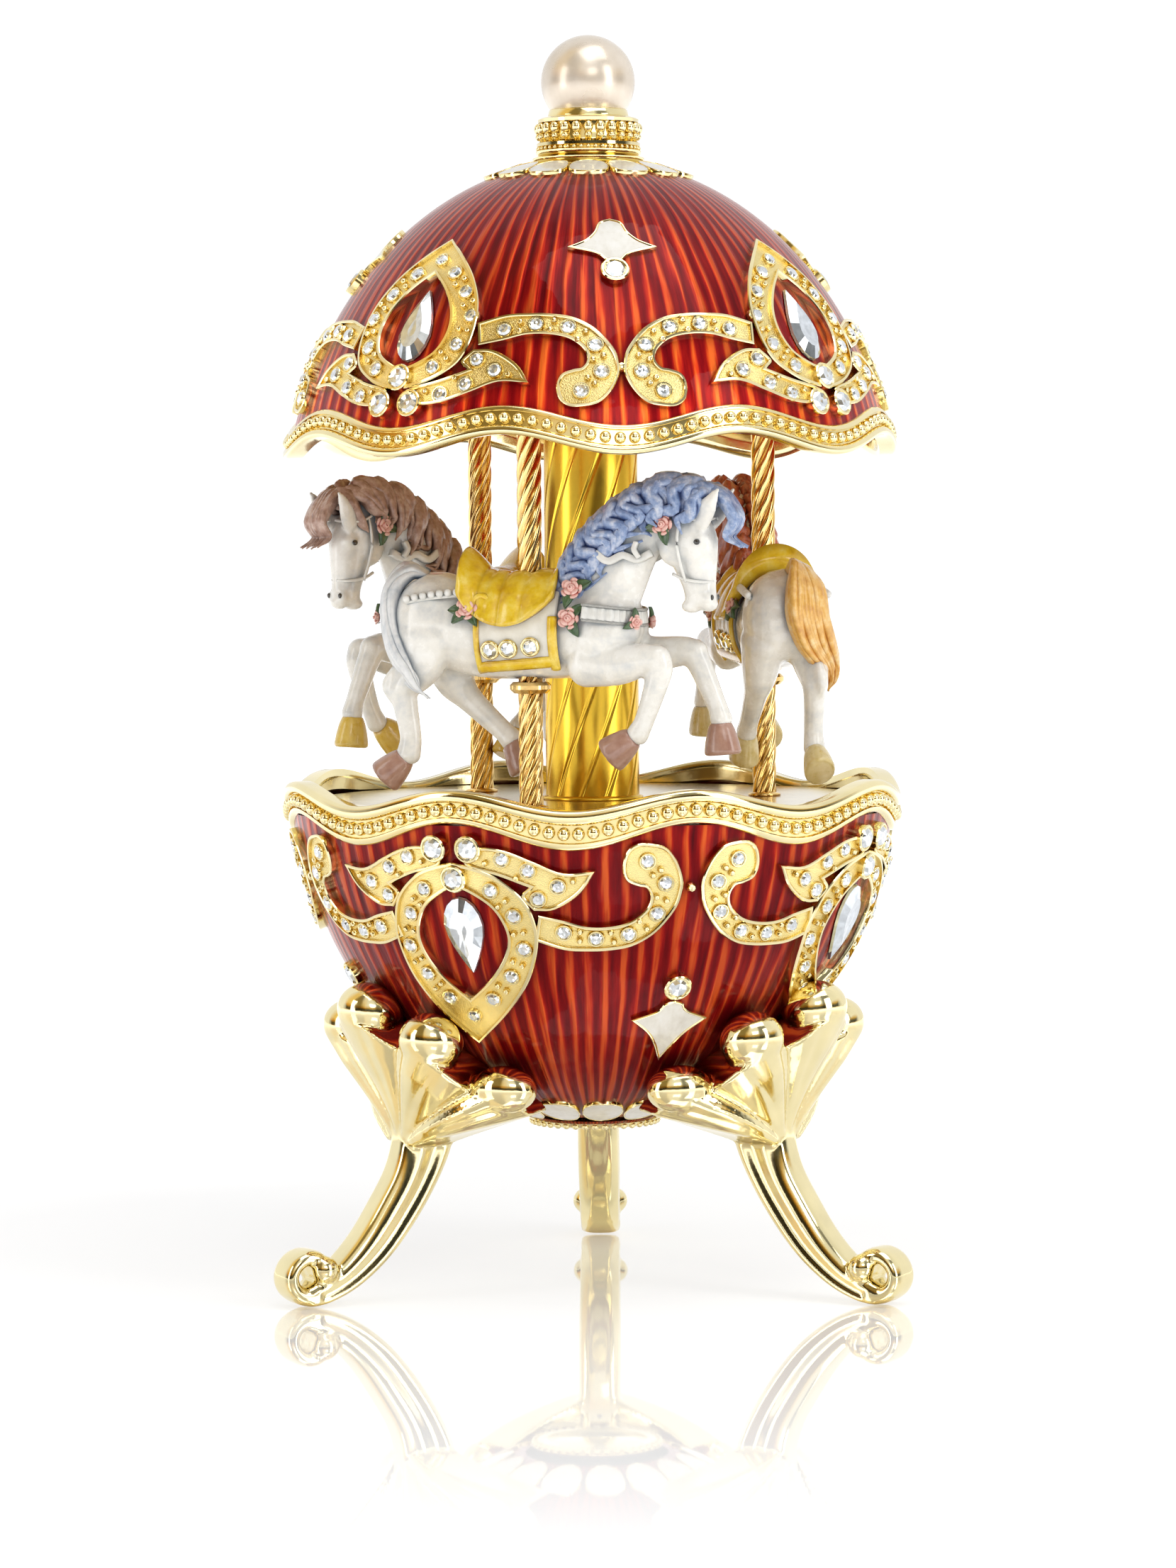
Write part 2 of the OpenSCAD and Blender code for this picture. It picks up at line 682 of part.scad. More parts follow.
// Prancing horse, facing local +X, with its pole at the local origin
module horse(k) {
    color("#EDE9E2") rotate([0, 0, first_pole + 120 * k]) translate([pole_circle_r, 0, 0])
        rotate([0, 0, 90]) difference() {
            union() {
                limb([[-12.5, 0, 86.6, 5.6], [-4, 0, 84.2, 5.3], [9.6, 0, 84.6, 5.6]]);
                limb([[9.6, 0, 86.4, 5.2], [14.6, 0, 95.2, 4.2], [19.6, 0, 98.4, 3.7],
                      [23.6, 0, 93, 2.8], [22.6, 0, 89.2, 2.2]]);
                limb([[3.8, 0, 91.6, 1.5], [10.5, 0, 99, 2.2], [19.6, 0, 101.4, 2.1], [27, 0, 97.8, 1.5]]);
                limb([[8.6, -2.7, 80.8, 3.2], [16.4, -2.9, 80.8, 1.9], [15.4, -2.9, 73.4, 1.3],
                      [12.4, -2.9, 70.4, 1.9]]);
                limb([[10.4, 2.7, 81.2, 3], [19.6, 2.9, 81.2, 1.9], [23.4, 2.9, 74.6, 1.3],
                      [24, 2.9, 71.4, 2]]);
                limb([[-12.8, -2.8, 83, 3.6], [-14.4, -2.9, 77.4, 2.1], [-14.8, -2.9, 69.6, 1.4],
                      [-17.6, -2.9, 66.9, 1.9]]);
                limb([[-11.4, 2.8, 81.4, 3.4], [-8.2, 2.9, 75, 1.8], [-4.8, 2.9, 70.6, 1.3],
                      [-3.2, 2.9, 68.4, 1.8]]);
                limb([[-16.4, 0, 90.2, 2.1], [-17.8, -1, 84.4, 2.2], [-12.8, -4.4, 78.4, 1.5]]);
            }
            translate([0, 0, 60]) cylinder(r = pole_r + 2 * fit, h = 50, $fn = 32);
            translate([-3, -3, 70]) cube([6, 6, belly_z + fit - 70]);
        }
}

module horse_front() horse(0);
module horse_right() horse(1);
module horse_rear() horse(2);

module canopy_plate() {
    color(brass) translate([0, 0, canopy_z]) difference() {
        cylinder(r = 34, h = 1.2);
        translate([0, 0, -1]) cylinder(r = arbor_r + fit, h = 4);
        translate([0, 0, -1]) pole_places() cylinder(r = peg_r + fit, h = 4);
    }
}

module dome_shell() {
    color(enamel) difference() {
        egg_solid(dome_joint_z, dome_top_z, dome_centre_z, dome_half_h, 0);
        egg_solid(dome_joint_z - 1, dome_top_z - shell_t, dome_centre_z, dome_half_h, shell_t);
        translate([0, 0, dome_top_z - 5]) cylinder(r = arbor_r + fit, h = 10);
        four_on_shell(dome_crystal_at, dome_centre_z, dome_half_h) pear(fit, -1);
        four_on_shell(dome_star_at, dome_centre_z, dome_half_h) star(fit);
    }
}

module dome_rim() {
    color(gold) wavy_ring(dome_joint_z, dome_rim_z, -90 + 6 + 22.5);
}

module dome_crystals() {
    color(crystal) four_on_shell(dome_crystal_at, dome_centre_z, dome_half_h) pear(0, -1);
}

module dome_stars() {
    color(white) four_on_shell(dome_star_at, dome_centre_z, dome_half_h) star(0);
}

pearl_z = 154;
module finial() {
    color(gold) difference() {
        rotate_extrude() polygon([[arbor_r + fit, dome_top_z], [7.8, dome_top_z], [7.1, 144.2],
            [7.1, 145.5], [6.1, 146], [5.5, 146.9], [6.8, 147.6], [6.8, 148.7], [5.9, 149.1],
            [6.1, 149.4], [6.1, 150.2], [5.6, 150.6], [arbor_r + fit, 150.6]]);
        translate([0, 0, pearl_z]) sphere(pearl_r + fit);
    }
}

module pearl() {
    color("#E8DAB8") difference() {
        translate([0, 0, pearl_z]) sphere(pearl_r);
        translate([0, 0, pearl_z - 8]) cylinder(r = arbor_r + fit, h = 6);
    }
}

cup_shell();
cup_rim();
cup_crystals();
cup_stars();
bottom_cap();
cap_nut();
leg_rear();
leg_left();
leg_right();
leg_screws();
bedplate();
bedplate_screws();
arbor_bush();
spring_housing();
housing_screws();
mainspring();
drum_bracket();
governor_bracket();
bracket_screws();
comb_base();
comb();
comb_screws();
winding_arbor();
crown_wheel();
ratchet_wheel();
click();
turntable();
column();
tie_rod();
pole_front();
pole_right();
pole_rear();
pole_collars();
pole_nuts();
horse_front();
horse_right();
horse_rear();
canopy_plate();
dome_shell();
dome_rim();
dome_crystals();
dome_stars();
finial();
pearl();
tune_cylinder();
drum_pinion();
drum_wheel();
drum_arbor();
layshaft();
lay_pinion();
worm_wheel();
governor_worm();
governor_fan();
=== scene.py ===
import json
import math
import random

import bmesh
import bpy
import numpy as np
from mathutils import Matrix, Vector
from mathutils.geometry import tessellate_polygon

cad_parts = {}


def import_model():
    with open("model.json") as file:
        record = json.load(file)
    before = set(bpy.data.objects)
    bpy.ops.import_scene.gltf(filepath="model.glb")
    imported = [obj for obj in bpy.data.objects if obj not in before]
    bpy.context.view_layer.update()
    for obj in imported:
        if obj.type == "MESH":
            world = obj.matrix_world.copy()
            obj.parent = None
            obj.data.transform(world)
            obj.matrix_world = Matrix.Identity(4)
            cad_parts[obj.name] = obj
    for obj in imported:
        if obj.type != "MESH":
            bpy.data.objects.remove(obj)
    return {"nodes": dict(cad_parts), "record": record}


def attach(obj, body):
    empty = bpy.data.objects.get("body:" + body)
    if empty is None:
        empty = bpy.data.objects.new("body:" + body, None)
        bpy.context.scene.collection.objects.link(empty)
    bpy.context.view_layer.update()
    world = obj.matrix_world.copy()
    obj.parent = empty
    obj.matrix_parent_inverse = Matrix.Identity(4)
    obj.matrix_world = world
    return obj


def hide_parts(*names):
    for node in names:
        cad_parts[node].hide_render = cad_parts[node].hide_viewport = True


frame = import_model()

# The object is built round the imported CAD. Lengths in this script are millimetres, turned to metres
# when a mesh is made. Directions round the object (phi) are degrees from the front (-Y), towards +X.

MM = 0.001
TAU = 2 * math.pi
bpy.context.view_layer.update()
rng = random.Random(7)

# ---------- sizes shared with the CAD ----------

SHELL_R = 39.4
CUP_CENTRE_Z, CUP_HALF_H, CUP_EDGE_Z = 70.9, 50.3, 64.2
DOME_CENTRE_Z, DOME_HALF_H, DOME_EDGE_Z = 96.8, 47.5, 107.5
CUP_FLOOR_Z, CUP_ENAMEL_TOP_Z = 22.4, 61.2
DOME_ENAMEL_LOW_Z, DOME_TOP_Z = 109.6, 143.2
WAVES = 8
DECK_Z, CANOPY_Z = 62.4, 116.0
POLE_CIRCLE_R, POLE_R, COLUMN_R = 22.6, 1.5, 6.0
POLE_PHI = {"front": -19.8, "right": 100.2, "rear": 220.2}
LEG_PHI = {"rear": 179.0, "left": 299.0, "right": 59.0}
PEARL_R, PEARL_Z = 6.0, 154.0


# ---------- mesh making ----------


class Build:
    """Collects parts of one mesh: points in millimetres, and faces as index rows."""

    def __init__(self, smooth=True):
        self.points, self.faces, self.count, self.smooth = [], [], 0, smooth

    def add(self, points, faces):
        points = np.asarray(points, float).reshape(-1, 3)
        for rows in faces if isinstance(faces, list) else [faces]:
            rows = np.asarray(rows, int)
            if len(rows):
                self.faces.append(rows + self.count)
        self.points.append(points)
        self.count += len(points)

    def mesh(self, name):
        me = bpy.data.meshes.new(name)
        points = np.concatenate(self.points) * MM
        loops = np.concatenate([f.ravel() for f in self.faces])
        totals = np.concatenate([np.full(len(f), f.shape[1]) for f in self.faces])
        starts = np.concatenate([[0], np.cumsum(totals)[:-1]])
        me.vertices.add(len(points))
        me.vertices.foreach_set("co", points.ravel())
        me.loops.add(len(loops))
        me.loops.foreach_set("vertex_index", loops)
        me.polygons.add(len(totals))
        me.polygons.foreach_set("loop_start", starts)
        me.polygons.foreach_set("loop_total", totals)
        me.polygons.foreach_set("use_smooth", np.full(len(totals), self.smooth))
        me.update(calc_edges=True)
        me.validate()
        bm = bmesh.new()
        bm.from_mesh(me)
        bmesh.ops.recalc_face_normals(bm, faces=bm.faces)
        bm.to_mesh(me)
        bm.free()
        return me


def piece(name, shape, body, mat, replaces=(), sharp=None):
    """A new object from a Build or a mesh, riding on a body. Edges over sharp degrees stay crisp."""
    me = shape.mesh(name) if isinstance(shape, Build) else shape
    ob = bpy.data.objects.new(name, me)
    bpy.context.scene.collection.objects.link(ob)
    me.materials.clear()
    me.materials.append(mat)
    if sharp is not None:
        me.set_sharp_from_angle(angle=math.radians(sharp))
    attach(ob, body)
    if replaces:
        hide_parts(*replaces)


def grid_faces(rows, cols, wrap_cols=False, wrap_rows=False):
    """Quads over a grid of points stored row by row."""
    i = np.arange(rows if wrap_rows else rows - 1)[:, None]
    j = np.arange(cols if wrap_cols else cols - 1)[None, :]
    a, b = i * cols + j, i * cols + (j + 1) % cols
    c, d = ((i + 1) % rows) * cols + (j + 1) % cols, ((i + 1) % rows) * cols + j
    return np.stack([a, b, c, d], axis=-1).reshape(-1, 4)


def revolve(build, profile, steps, closed=False, lift=None):
    """Turns a profile of (radius, z) about the axis; lift(phi, k) moves point k in radius and z."""
    phi = np.arange(steps) / steps * TAU
    rows = []
    for k, (r, z) in enumerate(profile):
        dr, dz = lift(phi, k) if lift else (0, 0)
        rr = np.full(steps, r) + dr
        rows.append(np.stack([rr * np.sin(phi), -rr * np.cos(phi), np.full(steps, z) + dz], axis=-1))
    build.add(np.concatenate(rows), grid_faces(len(profile), steps, True, closed))


def turned_grid(build, r, phi, z):
    """A skin round the axis from a grid of radii over angles (one row) and heights (one column)."""
    build.add(np.stack([r * np.sin(phi), -r * np.cos(phi), z + 0 * r], axis=-1).reshape(-1, 3),
              grid_faces(*r.shape, True))


def turned_ring(build, rows, n, ax, at):
    """A collar turned about the third direction of ax, from (radius, height) rows."""
    t = np.arange(n) / n * TAU
    pts = [np.stack([r * np.cos(t), r * np.sin(t), np.full(n, h)], axis=-1) for r, h in rows]
    build.add(np.concatenate(pts) @ ax + at, grid_faces(len(rows), n, True))


def spline(points, per):
    """Catmull-Rom curve through open points, with per steps between two of them."""
    p = np.asarray(points, float)
    p = np.concatenate([[2 * p[0] - p[1]], p, [2 * p[-1] - p[-2]]])
    t = (np.arange(per) / per)[:, None]
    out = []
    for a, b, c, d in zip(p[:-3], p[1:-2], p[2:-1], p[3:]):
        out.append(0.5 * (2 * b + (c - a) * t + (2 * a - 5 * b + 4 * c - d) * t**2
                          + (3 * b - a - 3 * c + d) * t**3))
    return np.concatenate(out + [p[-2:-1]])


def resample(points, n):
    """n points at even spacing along a line."""
    p = np.asarray(points, float)
    s = np.concatenate([[0], np.cumsum(np.linalg.norm(np.diff(p, axis=0), axis=1))])
    at = np.linspace(0, s[-1], n)
    return np.stack([np.interp(at, s, p[:, k]) for k in range(p.shape[1])], axis=-1)


def frames(path, up):
    """Unit tangent, side and up directions along a path, with up as near as it can be to the given one."""
    t = np.gradient(path, axis=0)
    t /= np.linalg.norm(t, axis=1)[:, None]
    up = np.broadcast_to(np.asarray(up, float), path.shape)
    side = np.cross(t, up)
    side /= np.linalg.norm(side, axis=1)[:, None]
    return t, side, np.cross(side, t)


def sweep(build, path, section, up=(0, 0, 1), scale=None, turn=None):
    """Carries a closed section (side, up) along a path and caps its ends; scale is one factor or
    (side, up) per point, and turn twists the section."""
    path = np.asarray(path, float)
    n, m = len(path), len(section)
    _, side, rise = frames(path, up)
    section = np.asarray(section, float)
    scale = np.ones((n, 2)) if scale is None else np.asarray(scale, float)
    if scale.ndim == 1:
        scale = np.stack([scale, scale], axis=-1)
    rows = []
    for k in range(n):
        sec = section * scale[k]
        if turn is not None:
            c, s = math.cos(turn[k]), math.sin(turn[k])
            sec = sec @ np.array([[c, s], [-s, c]])
        rows.append(path[k] + sec[:, :1] * side[k] + sec[:, 1:] * rise[k])
    j = np.arange(m)
    first = np.stack([np.full(m, n * m), (j + 1) % m, j], axis=-1)
    last = np.stack([np.full(m, n * m + 1), (n - 1) * m + j, (n - 1) * m + (j + 1) % m], axis=-1)
    build.add(np.concatenate(rows + [path[:1], path[-1:]]), [grid_faces(n, m, True), first, last])


def ring_section(n):
    t = np.arange(n) / n * TAU
    return np.stack([np.cos(t), np.sin(t)], axis=-1)


def tube(build, path, radius, n=12, up=(0, 0, 1)):
    radius = np.broadcast_to(np.asarray(radius, float), (len(path),))
    sweep(build, path, ring_section(n), up=up, scale=radius)


def blob(build, centre, radii, rows=8, cols=14, axes=None):
    """An ellipsoid as rings between two poles; axes are its three directions."""
    axes = np.eye(3) if axes is None else np.asarray(axes, float)
    lat = np.linspace(-math.pi / 2, math.pi / 2, rows + 1)[1:-1]
    lon = np.arange(cols) / cols * TAU
    ring = np.stack([np.outer(np.cos(lat), np.cos(lon)), np.outer(np.cos(lat), np.sin(lon)),
                     np.outer(np.sin(lat), np.ones(cols))], axis=-1).reshape(-1, 3)
    pts = np.concatenate([ring, [[0, 0, -1], [0, 0, 1]]]) * np.asarray(radii, float)
    m, j = rows - 1, np.arange(cols)
    low = np.stack([np.full(cols, m * cols), (j + 1) % cols, j], axis=-1)
    top = np.stack([np.full(cols, m * cols + 1), (m - 1) * cols + j,
                    (m - 1) * cols + (j + 1) % cols], axis=-1)
    build.add(pts @ axes + centre, [grid_faces(m, cols, True), low, top])


def bead_ring(build, count, r, z, radii, rows, cols):
    """Beads evenly round the axis."""
    for k in range(count):
        phi = TAU * k / count
        blob(build, (r * math.sin(phi), -r * math.cos(phi), z), radii, rows, cols)


def slab(build, outer, inner):
    """Closes an outer and an inner grid of points (rows, cols, 3) into one thick sheet."""
    rows, cols = outer.shape[:2]
    n = rows * cols
    top = grid_faces(rows, cols)
    idx = np.arange(n).reshape(rows, cols)
    rim = np.concatenate([idx[0, :], idx[1:, -1], idx[-1, -2::-1], idx[-2:0:-1, 0]])
    nxt = np.roll(rim, -1)
    wall = np.stack([rim, rim + n, nxt + n, nxt], axis=-1)
    build.add(np.concatenate([outer.reshape(-1, 3), inner.reshape(-1, 3)]), [top, top[:, ::-1] + n, wall])


class Shell:
    """Places ornament on an egg shell: u runs round it, v away from its rim, out of it stands proud."""

    def __init__(self, centre, half, edge_z, away):
        self.centre, self.half = centre, half
        z = np.linspace(centre, centre + away * (half - 0.01), 3000)
        r = self.radius(z)
        arc = np.concatenate([[0], np.cumsum(np.hypot(np.diff(z), np.diff(r)))])
        self.z = z
        self.arc = arc - np.interp(abs(edge_z - centre), abs(z - centre), arc)
        self.away, self.edge_z = away, edge_z

    def radius(self, z):
        return SHELL_R * np.sqrt(np.maximum(1 - ((z - self.centre) / self.half) ** 2, 0))

    def height(self, v):
        return np.interp(v, self.arc, self.z)

    def place(self, uv, out, phi0):
        """Points on the shell for an array of (u, v), all round the direction phi0 in degrees."""
        uv = np.asarray(uv, float)
        z = self.height(uv[:, 1])
        r = self.radius(z)
        phi = math.radians(phi0) + uv[:, 0] / np.maximum(r, 1)
        nr, nz = r / SHELL_R**2, (z - self.centre) / self.half**2
        size = np.hypot(nr, nz)
        rr = r + out * nr / size
        return np.stack([rr * np.sin(phi), -rr * np.cos(phi), z + out * nz / size], axis=-1)

    def axes(self, u, v, phi0):
        """(along u, along v, outward) unit directions at one place."""
        step = 0.05
        p = self.place([[u - step, v], [u + step, v], [u, v - step], [u, v + step]], 0, phi0)
        a, b = p[1] - p[0], p[3] - p[2]
        a, b = a / np.linalg.norm(a), b / np.linalg.norm(b)
        n = np.cross(a, b) * self.away
        return np.stack([a, np.cross(n, a), n])


CUP = Shell(CUP_CENTRE_Z, CUP_HALF_H, CUP_EDGE_Z, -1)
DOME = Shell(DOME_CENTRE_Z, DOME_HALF_H, DOME_EDGE_Z, 1)


# ---------- materials ----------


def new_material(name):
    mat = bpy.data.materials.new(name)
    mat.use_nodes = True
    nt = mat.node_tree
    nt.nodes.clear()
    out = nt.nodes.new("ShaderNodeOutputMaterial")
    bsdf = nt.nodes.new("ShaderNodeBsdfPrincipled")
    nt.links.new(bsdf.outputs[0], out.inputs[0])
    return mat, nt, bsdf


def node(nt, kind, inputs=None, **props):
    n = nt.nodes.new(kind)
    for key, value in props.items():
        setattr(n, key, value)
    for key, value in (inputs or {}).items():
        socket = n.inputs[key]
        if isinstance(value, bpy.types.NodeSocket):
            nt.links.new(value, socket)
        else:
            socket.default_value = value
    return n


def ramp(nt, fac, stops):
    n = node(nt, "ShaderNodeValToRGB", {"Fac": fac})
    while len(n.color_ramp.elements) < len(stops):
        n.color_ramp.elements.new(0.5)
    for e, (pos, col) in zip(n.color_ramp.elements, stops):
        e.position = pos
        e.color = (*col, 1)
    return n.outputs[0]


def math_node(nt, op, a, b=None, c=None):
    inputs = {0: a}
    if b is not None:
        inputs[1] = b
    if c is not None:
        inputs[2] = c
    return node(nt, "ShaderNodeMath", inputs, operation=op).outputs[0]


def mix_colour(nt, fac, a, b, blend="MIX"):
    n = node(nt, "ShaderNodeMix", data_type="RGBA", blend_type=blend)
    for k, value in ((0, fac), (6, a), (7, b)):
        if isinstance(value, bpy.types.NodeSocket):
            nt.links.new(value, n.inputs[k])
        else:
            n.inputs[k].default_value = (*value, 1) if isinstance(value, tuple) and len(value) == 3 else value
    return n.outputs[2]


def place_coords(nt, scale=(1, 1, 1)):
    """Object coordinates in millimetres, times scale."""
    tc = node(nt, "ShaderNodeTexCoord")
    vm = node(nt, "ShaderNodeVectorMath", {0: tc.outputs["Object"], 1: tuple(1000 * s for s in scale)},
              operation="MULTIPLY")
    return vm.outputs[0]


def noise_node(nt, vector, scale, detail=3.0, rough=0.5):
    return node(nt, "ShaderNodeTexNoise",
                {"Vector": vector, "Scale": scale, "Detail": detail, "Roughness": rough}).outputs[0]


def bump_node(nt, height, strength, distance_mm, normal=None):
    inputs = {"Height": height, "Strength": strength, "Distance": distance_mm * MM}
    if normal is not None:
        inputs["Normal"] = normal
    return node(nt, "ShaderNodeBump", inputs).outputs[0]


def metal(name, colour, rough=0.12, grain=0.25, vary=0.12, fine=0.0, recess_shade=None):
    """Plated or plain metal: slow colour drift, faint polishing marks, uneven gloss and painted recess shade.
    """
    mat, nt, bsdf = new_material(name)
    pos = place_coords(nt)
    slow = noise_node(nt, pos, 0.18, 3)
    quick = noise_node(nt, pos, 1.3, 4, 0.6)
    dark = tuple(c * (1 - vary) for c in colour)
    light = tuple(min(c * (1 + vary * 0.4), 1) for c in colour)
    col = ramp(nt, slow, [(0.3, dark), (0.7, light)])
    if recess_shade:
        # painted shade: the colour darkens towards recess_shade where ambient occlusion finds a recess
        ao = node(nt, "ShaderNodeAmbientOcclusion", {"Distance": 1.2 * MM}, samples=4).outputs["AO"]
        col = mix_colour(nt, ramp(nt, ao, [(0.25, (1, 1, 1)), (0.85, (0, 0, 0))]), col, recess_shade)
    nt.links.new(col, bsdf.inputs["Base Color"])
    bsdf.inputs["Metallic"].default_value = 1
    rr = node(nt, "ShaderNodeMapRange", {"Value": quick, "To Min": rough * 0.85, "To Max": rough * 1.2})
    nt.links.new(rr.outputs[0], bsdf.inputs["Roughness"])
    height = noise_node(nt, pos, 0.9, 2)
    normal = bump_node(nt, height, grain, 0.06)
    if fine:
        normal = bump_node(nt, noise_node(nt, pos, 6.0, 2, 0.6), fine, 0.05, normal)
    nt.links.new(normal, bsdf.inputs["Normal"])
    return mat


RAYS = 96.0  # engraved rays round the egg, painted bright as a reflection of the metal under the enamel
RIM_HIGHLIGHT = 18.0  # height over which a painted highlight brightens the enamel towards its rim


def enamel_material(name, shell, far_gain, rim_highlight_gain):
    """Red guilloche enamel: engraved meridian rays under a clear coat, their bright streaks a painted
    reflection of the metal beneath. Its colour is multiplied by far_gain, and by rim_highlight_gain more
    (red, green, blue) next to the shell's rim, a painted highlight."""
    mat, nt, bsdf = new_material(name)
    tc = node(nt, "ShaderNodeTexCoord")
    xyz = node(nt, "ShaderNodeSeparateXYZ", {0: tc.outputs["Object"]}).outputs
    x, y, z = (math_node(nt, "MULTIPLY", xyz[k], 1000.0) for k in range(3))
    azimuth = math_node(nt, "ARCTAN2", x, math_node(nt, "MULTIPLY", y, -1.0))
    radius = math_node(nt, "SQRT", math_node(nt, "ADD", math_node(nt, "MULTIPLY", x, x),
                                             math_node(nt, "MULTIPLY", y, y)))
    ux, uy = math_node(nt, "DIVIDE", x, radius), math_node(nt, "DIVIDE", y, radius)

    def rays(round_scale, along_scale, detail, seed):
        """Noise drawn out along the meridians, without a seam."""
        vec = node(nt, "ShaderNodeCombineXYZ", {
            0: math_node(nt, "MULTIPLY", ux, round_scale), 1: math_node(nt, "MULTIPLY", uy, round_scale),
            2: math_node(nt, "MULTIPLY_ADD", z, along_scale, seed)}).outputs[0]
        return noise_node(nt, vec, 1.0, detail, 0.55)

    drift = rays(30, 0.06, 2, 3.0)
    wobble = rays(7, 0.12, 1, 8.0)
    angle = math_node(nt, "MULTIPLY_ADD", drift, 5.0, math_node(nt, "MULTIPLY", azimuth, RAYS))
    angle = math_node(nt, "MULTIPLY_ADD", wobble, 3.0, angle)
    wave = math_node(nt, "MULTIPLY_ADD", math_node(nt, "SINE", angle), 0.5, 0.5)
    patch = rays(20, 0.09, 3, 21.0)
    broken = rays(55, 0.16, 2, 40.0)
    wave = math_node(nt, "POWER", wave, 1.7)
    tone = math_node(nt, "MULTIPLY_ADD", wave, 0.44, math_node(nt, "MULTIPLY", patch, 0.62))
    tone = math_node(nt, "MULTIPLY_ADD", broken, 0.35, tone)
    # dark red enamel to bright orange streaks: the rays are real engraving, their orange a painted reflection
    # of the metal beneath
    col = ramp(nt, tone, [(0.30, (0.055, 0.0003, 0.002)), (0.46, (0.13, 0.001, 0.003)),
                          (0.64, (0.23, 0.004, 0.004)), (0.78, (0.38, 0.020, 0.006)),
                          (0.92, (0.52, 0.070, 0.014))])
    # painted highlight: the enamel brightens towards the shell's rim by rim_highlight_gain
    highlight_end = shell.edge_z + RIM_HIGHLIGHT * shell.away
    highlight_near_rim = node(nt, "ShaderNodeMapRange", {"Value": z, "From Min": highlight_end, "From Max": shell.edge_z,
                                               "To Min": 0.0, "To Max": 1.0}).outputs[0]
    gain = node(nt, "ShaderNodeVectorMath", {0: highlight_near_rim, 1: rim_highlight_gain, 2: (far_gain,) * 3},
                operation="MULTIPLY_ADD").outputs[0]
    col = node(nt, "ShaderNodeVectorMath", {0: col, 1: gain}, operation="MULTIPLY").outputs[0]
    # painted shade: the enamel darkens to deep red where ambient occlusion finds the ornament's foot
    ao = node(nt, "ShaderNodeAmbientOcclusion", {"Distance": 2.2 * MM}, samples=4).outputs["AO"]
    edge = ramp(nt, ao, [(0.35, (1, 1, 1)), (0.95, (0, 0, 0))])
    col = mix_colour(nt, edge, col, (0.09, 0.001, 0.004))
    nt.links.new(col, bsdf.inputs["Base Color"])
    nt.links.new(math_node(nt, "MULTIPLY_ADD", tone, 0.5, 0.15), bsdf.inputs["Metallic"])
    bsdf.inputs["Roughness"].default_value = 0.34
    bsdf.inputs["Specular IOR Level"].default_value = 0.03
    bsdf.inputs["Coat Weight"].default_value = 0.6
    bsdf.inputs["Coat Roughness"].default_value = 0.02
    bsdf.inputs["Coat IOR"].default_value = 1.22
    ridge = math_node(nt, "MULTIPLY_ADD", broken, 0.5, wave)
    nt.links.new(bump_node(nt, ridge, 0.55, 0.18), bsdf.inputs["Normal"])
    ripple = bump_node(nt, noise_node(nt, place_coords(nt), 0.22, 2), 0.22, 0.5)
    nt.links.new(ripple, bsdf.inputs["Coat Normal"])
    return mat


def gloss(name, colours, rough=0.25, coat=0.6, scale=0.5, bump=0.1, metallic=0.0,
          streak=(1, 1, 1), recess_shade=None, reach=1.0):
    """Paint, enamel or plastic: stops of colour over noise, drawn out along streak, with painted shade in
    recesses.
    """
    mat, nt, bsdf = new_material(name)
    pos = place_coords(nt, streak)
    tone = noise_node(nt, pos, scale, 4, 0.6)
    n = len(colours)
    col = ramp(nt, tone, [(0.3 + 0.4 * k / max(n - 1, 1), c) for k, c in enumerate(colours)])
    if recess_shade:
        # painted shade: the colour darkens towards recess_shade where ambient occlusion finds a recess
        ao = node(nt, "ShaderNodeAmbientOcclusion", {"Distance": reach * MM}, samples=6).outputs["AO"]
        col = mix_colour(nt, ramp(nt, ao, [(0.2, (1, 1, 1)), (0.9, (0, 0, 0))]), col, recess_shade)
    nt.links.new(col, bsdf.inputs["Base Color"])
    rr = node(nt, "ShaderNodeMapRange", {"Value": tone, "To Min": rough * 0.8, "To Max": rough * 1.25})
    nt.links.new(rr.outputs[0], bsdf.inputs["Roughness"])
    bsdf.inputs["Metallic"].default_value = metallic
    bsdf.inputs["Coat Weight"].default_value = coat
    bsdf.inputs["Coat Roughness"].default_value = 0.05
    height = noise_node(nt, pos, scale * 3, 3)
    nt.links.new(bump_node(nt, height, bump, 0.1), bsdf.inputs["Normal"])
    return mat


def stone_material(name, tint):
    """Foil-backed cut glass: facets carry the look, with a faint cloud inside."""
    mat, nt, bsdf = new_material(name)
    pos = place_coords(nt)
    cloud = tuple(c * 0.72 for c in tint)
    col = ramp(nt, noise_node(nt, pos, 1.1, 2), [(0.3, cloud), (0.7, tint)])
    nt.links.new(col, bsdf.inputs["Base Color"])
    bsdf.inputs["Metallic"].default_value = 0.8
    haze = noise_node(nt, pos, 0.7, 2)
    rr = node(nt, "ShaderNodeMapRange", {"Value": haze, "To Min": 0.02, "To Max": 0.09})
    nt.links.new(rr.outputs[0], bsdf.inputs["Roughness"])
    bsdf.inputs["Coat Weight"].default_value = 1
    bsdf.inputs["Coat Roughness"].default_value = 0.01
    nt.links.new(bump_node(nt, noise_node(nt, pos, 0.5, 1), 0.05, 0.05), bsdf.inputs["Normal"])
    return mat


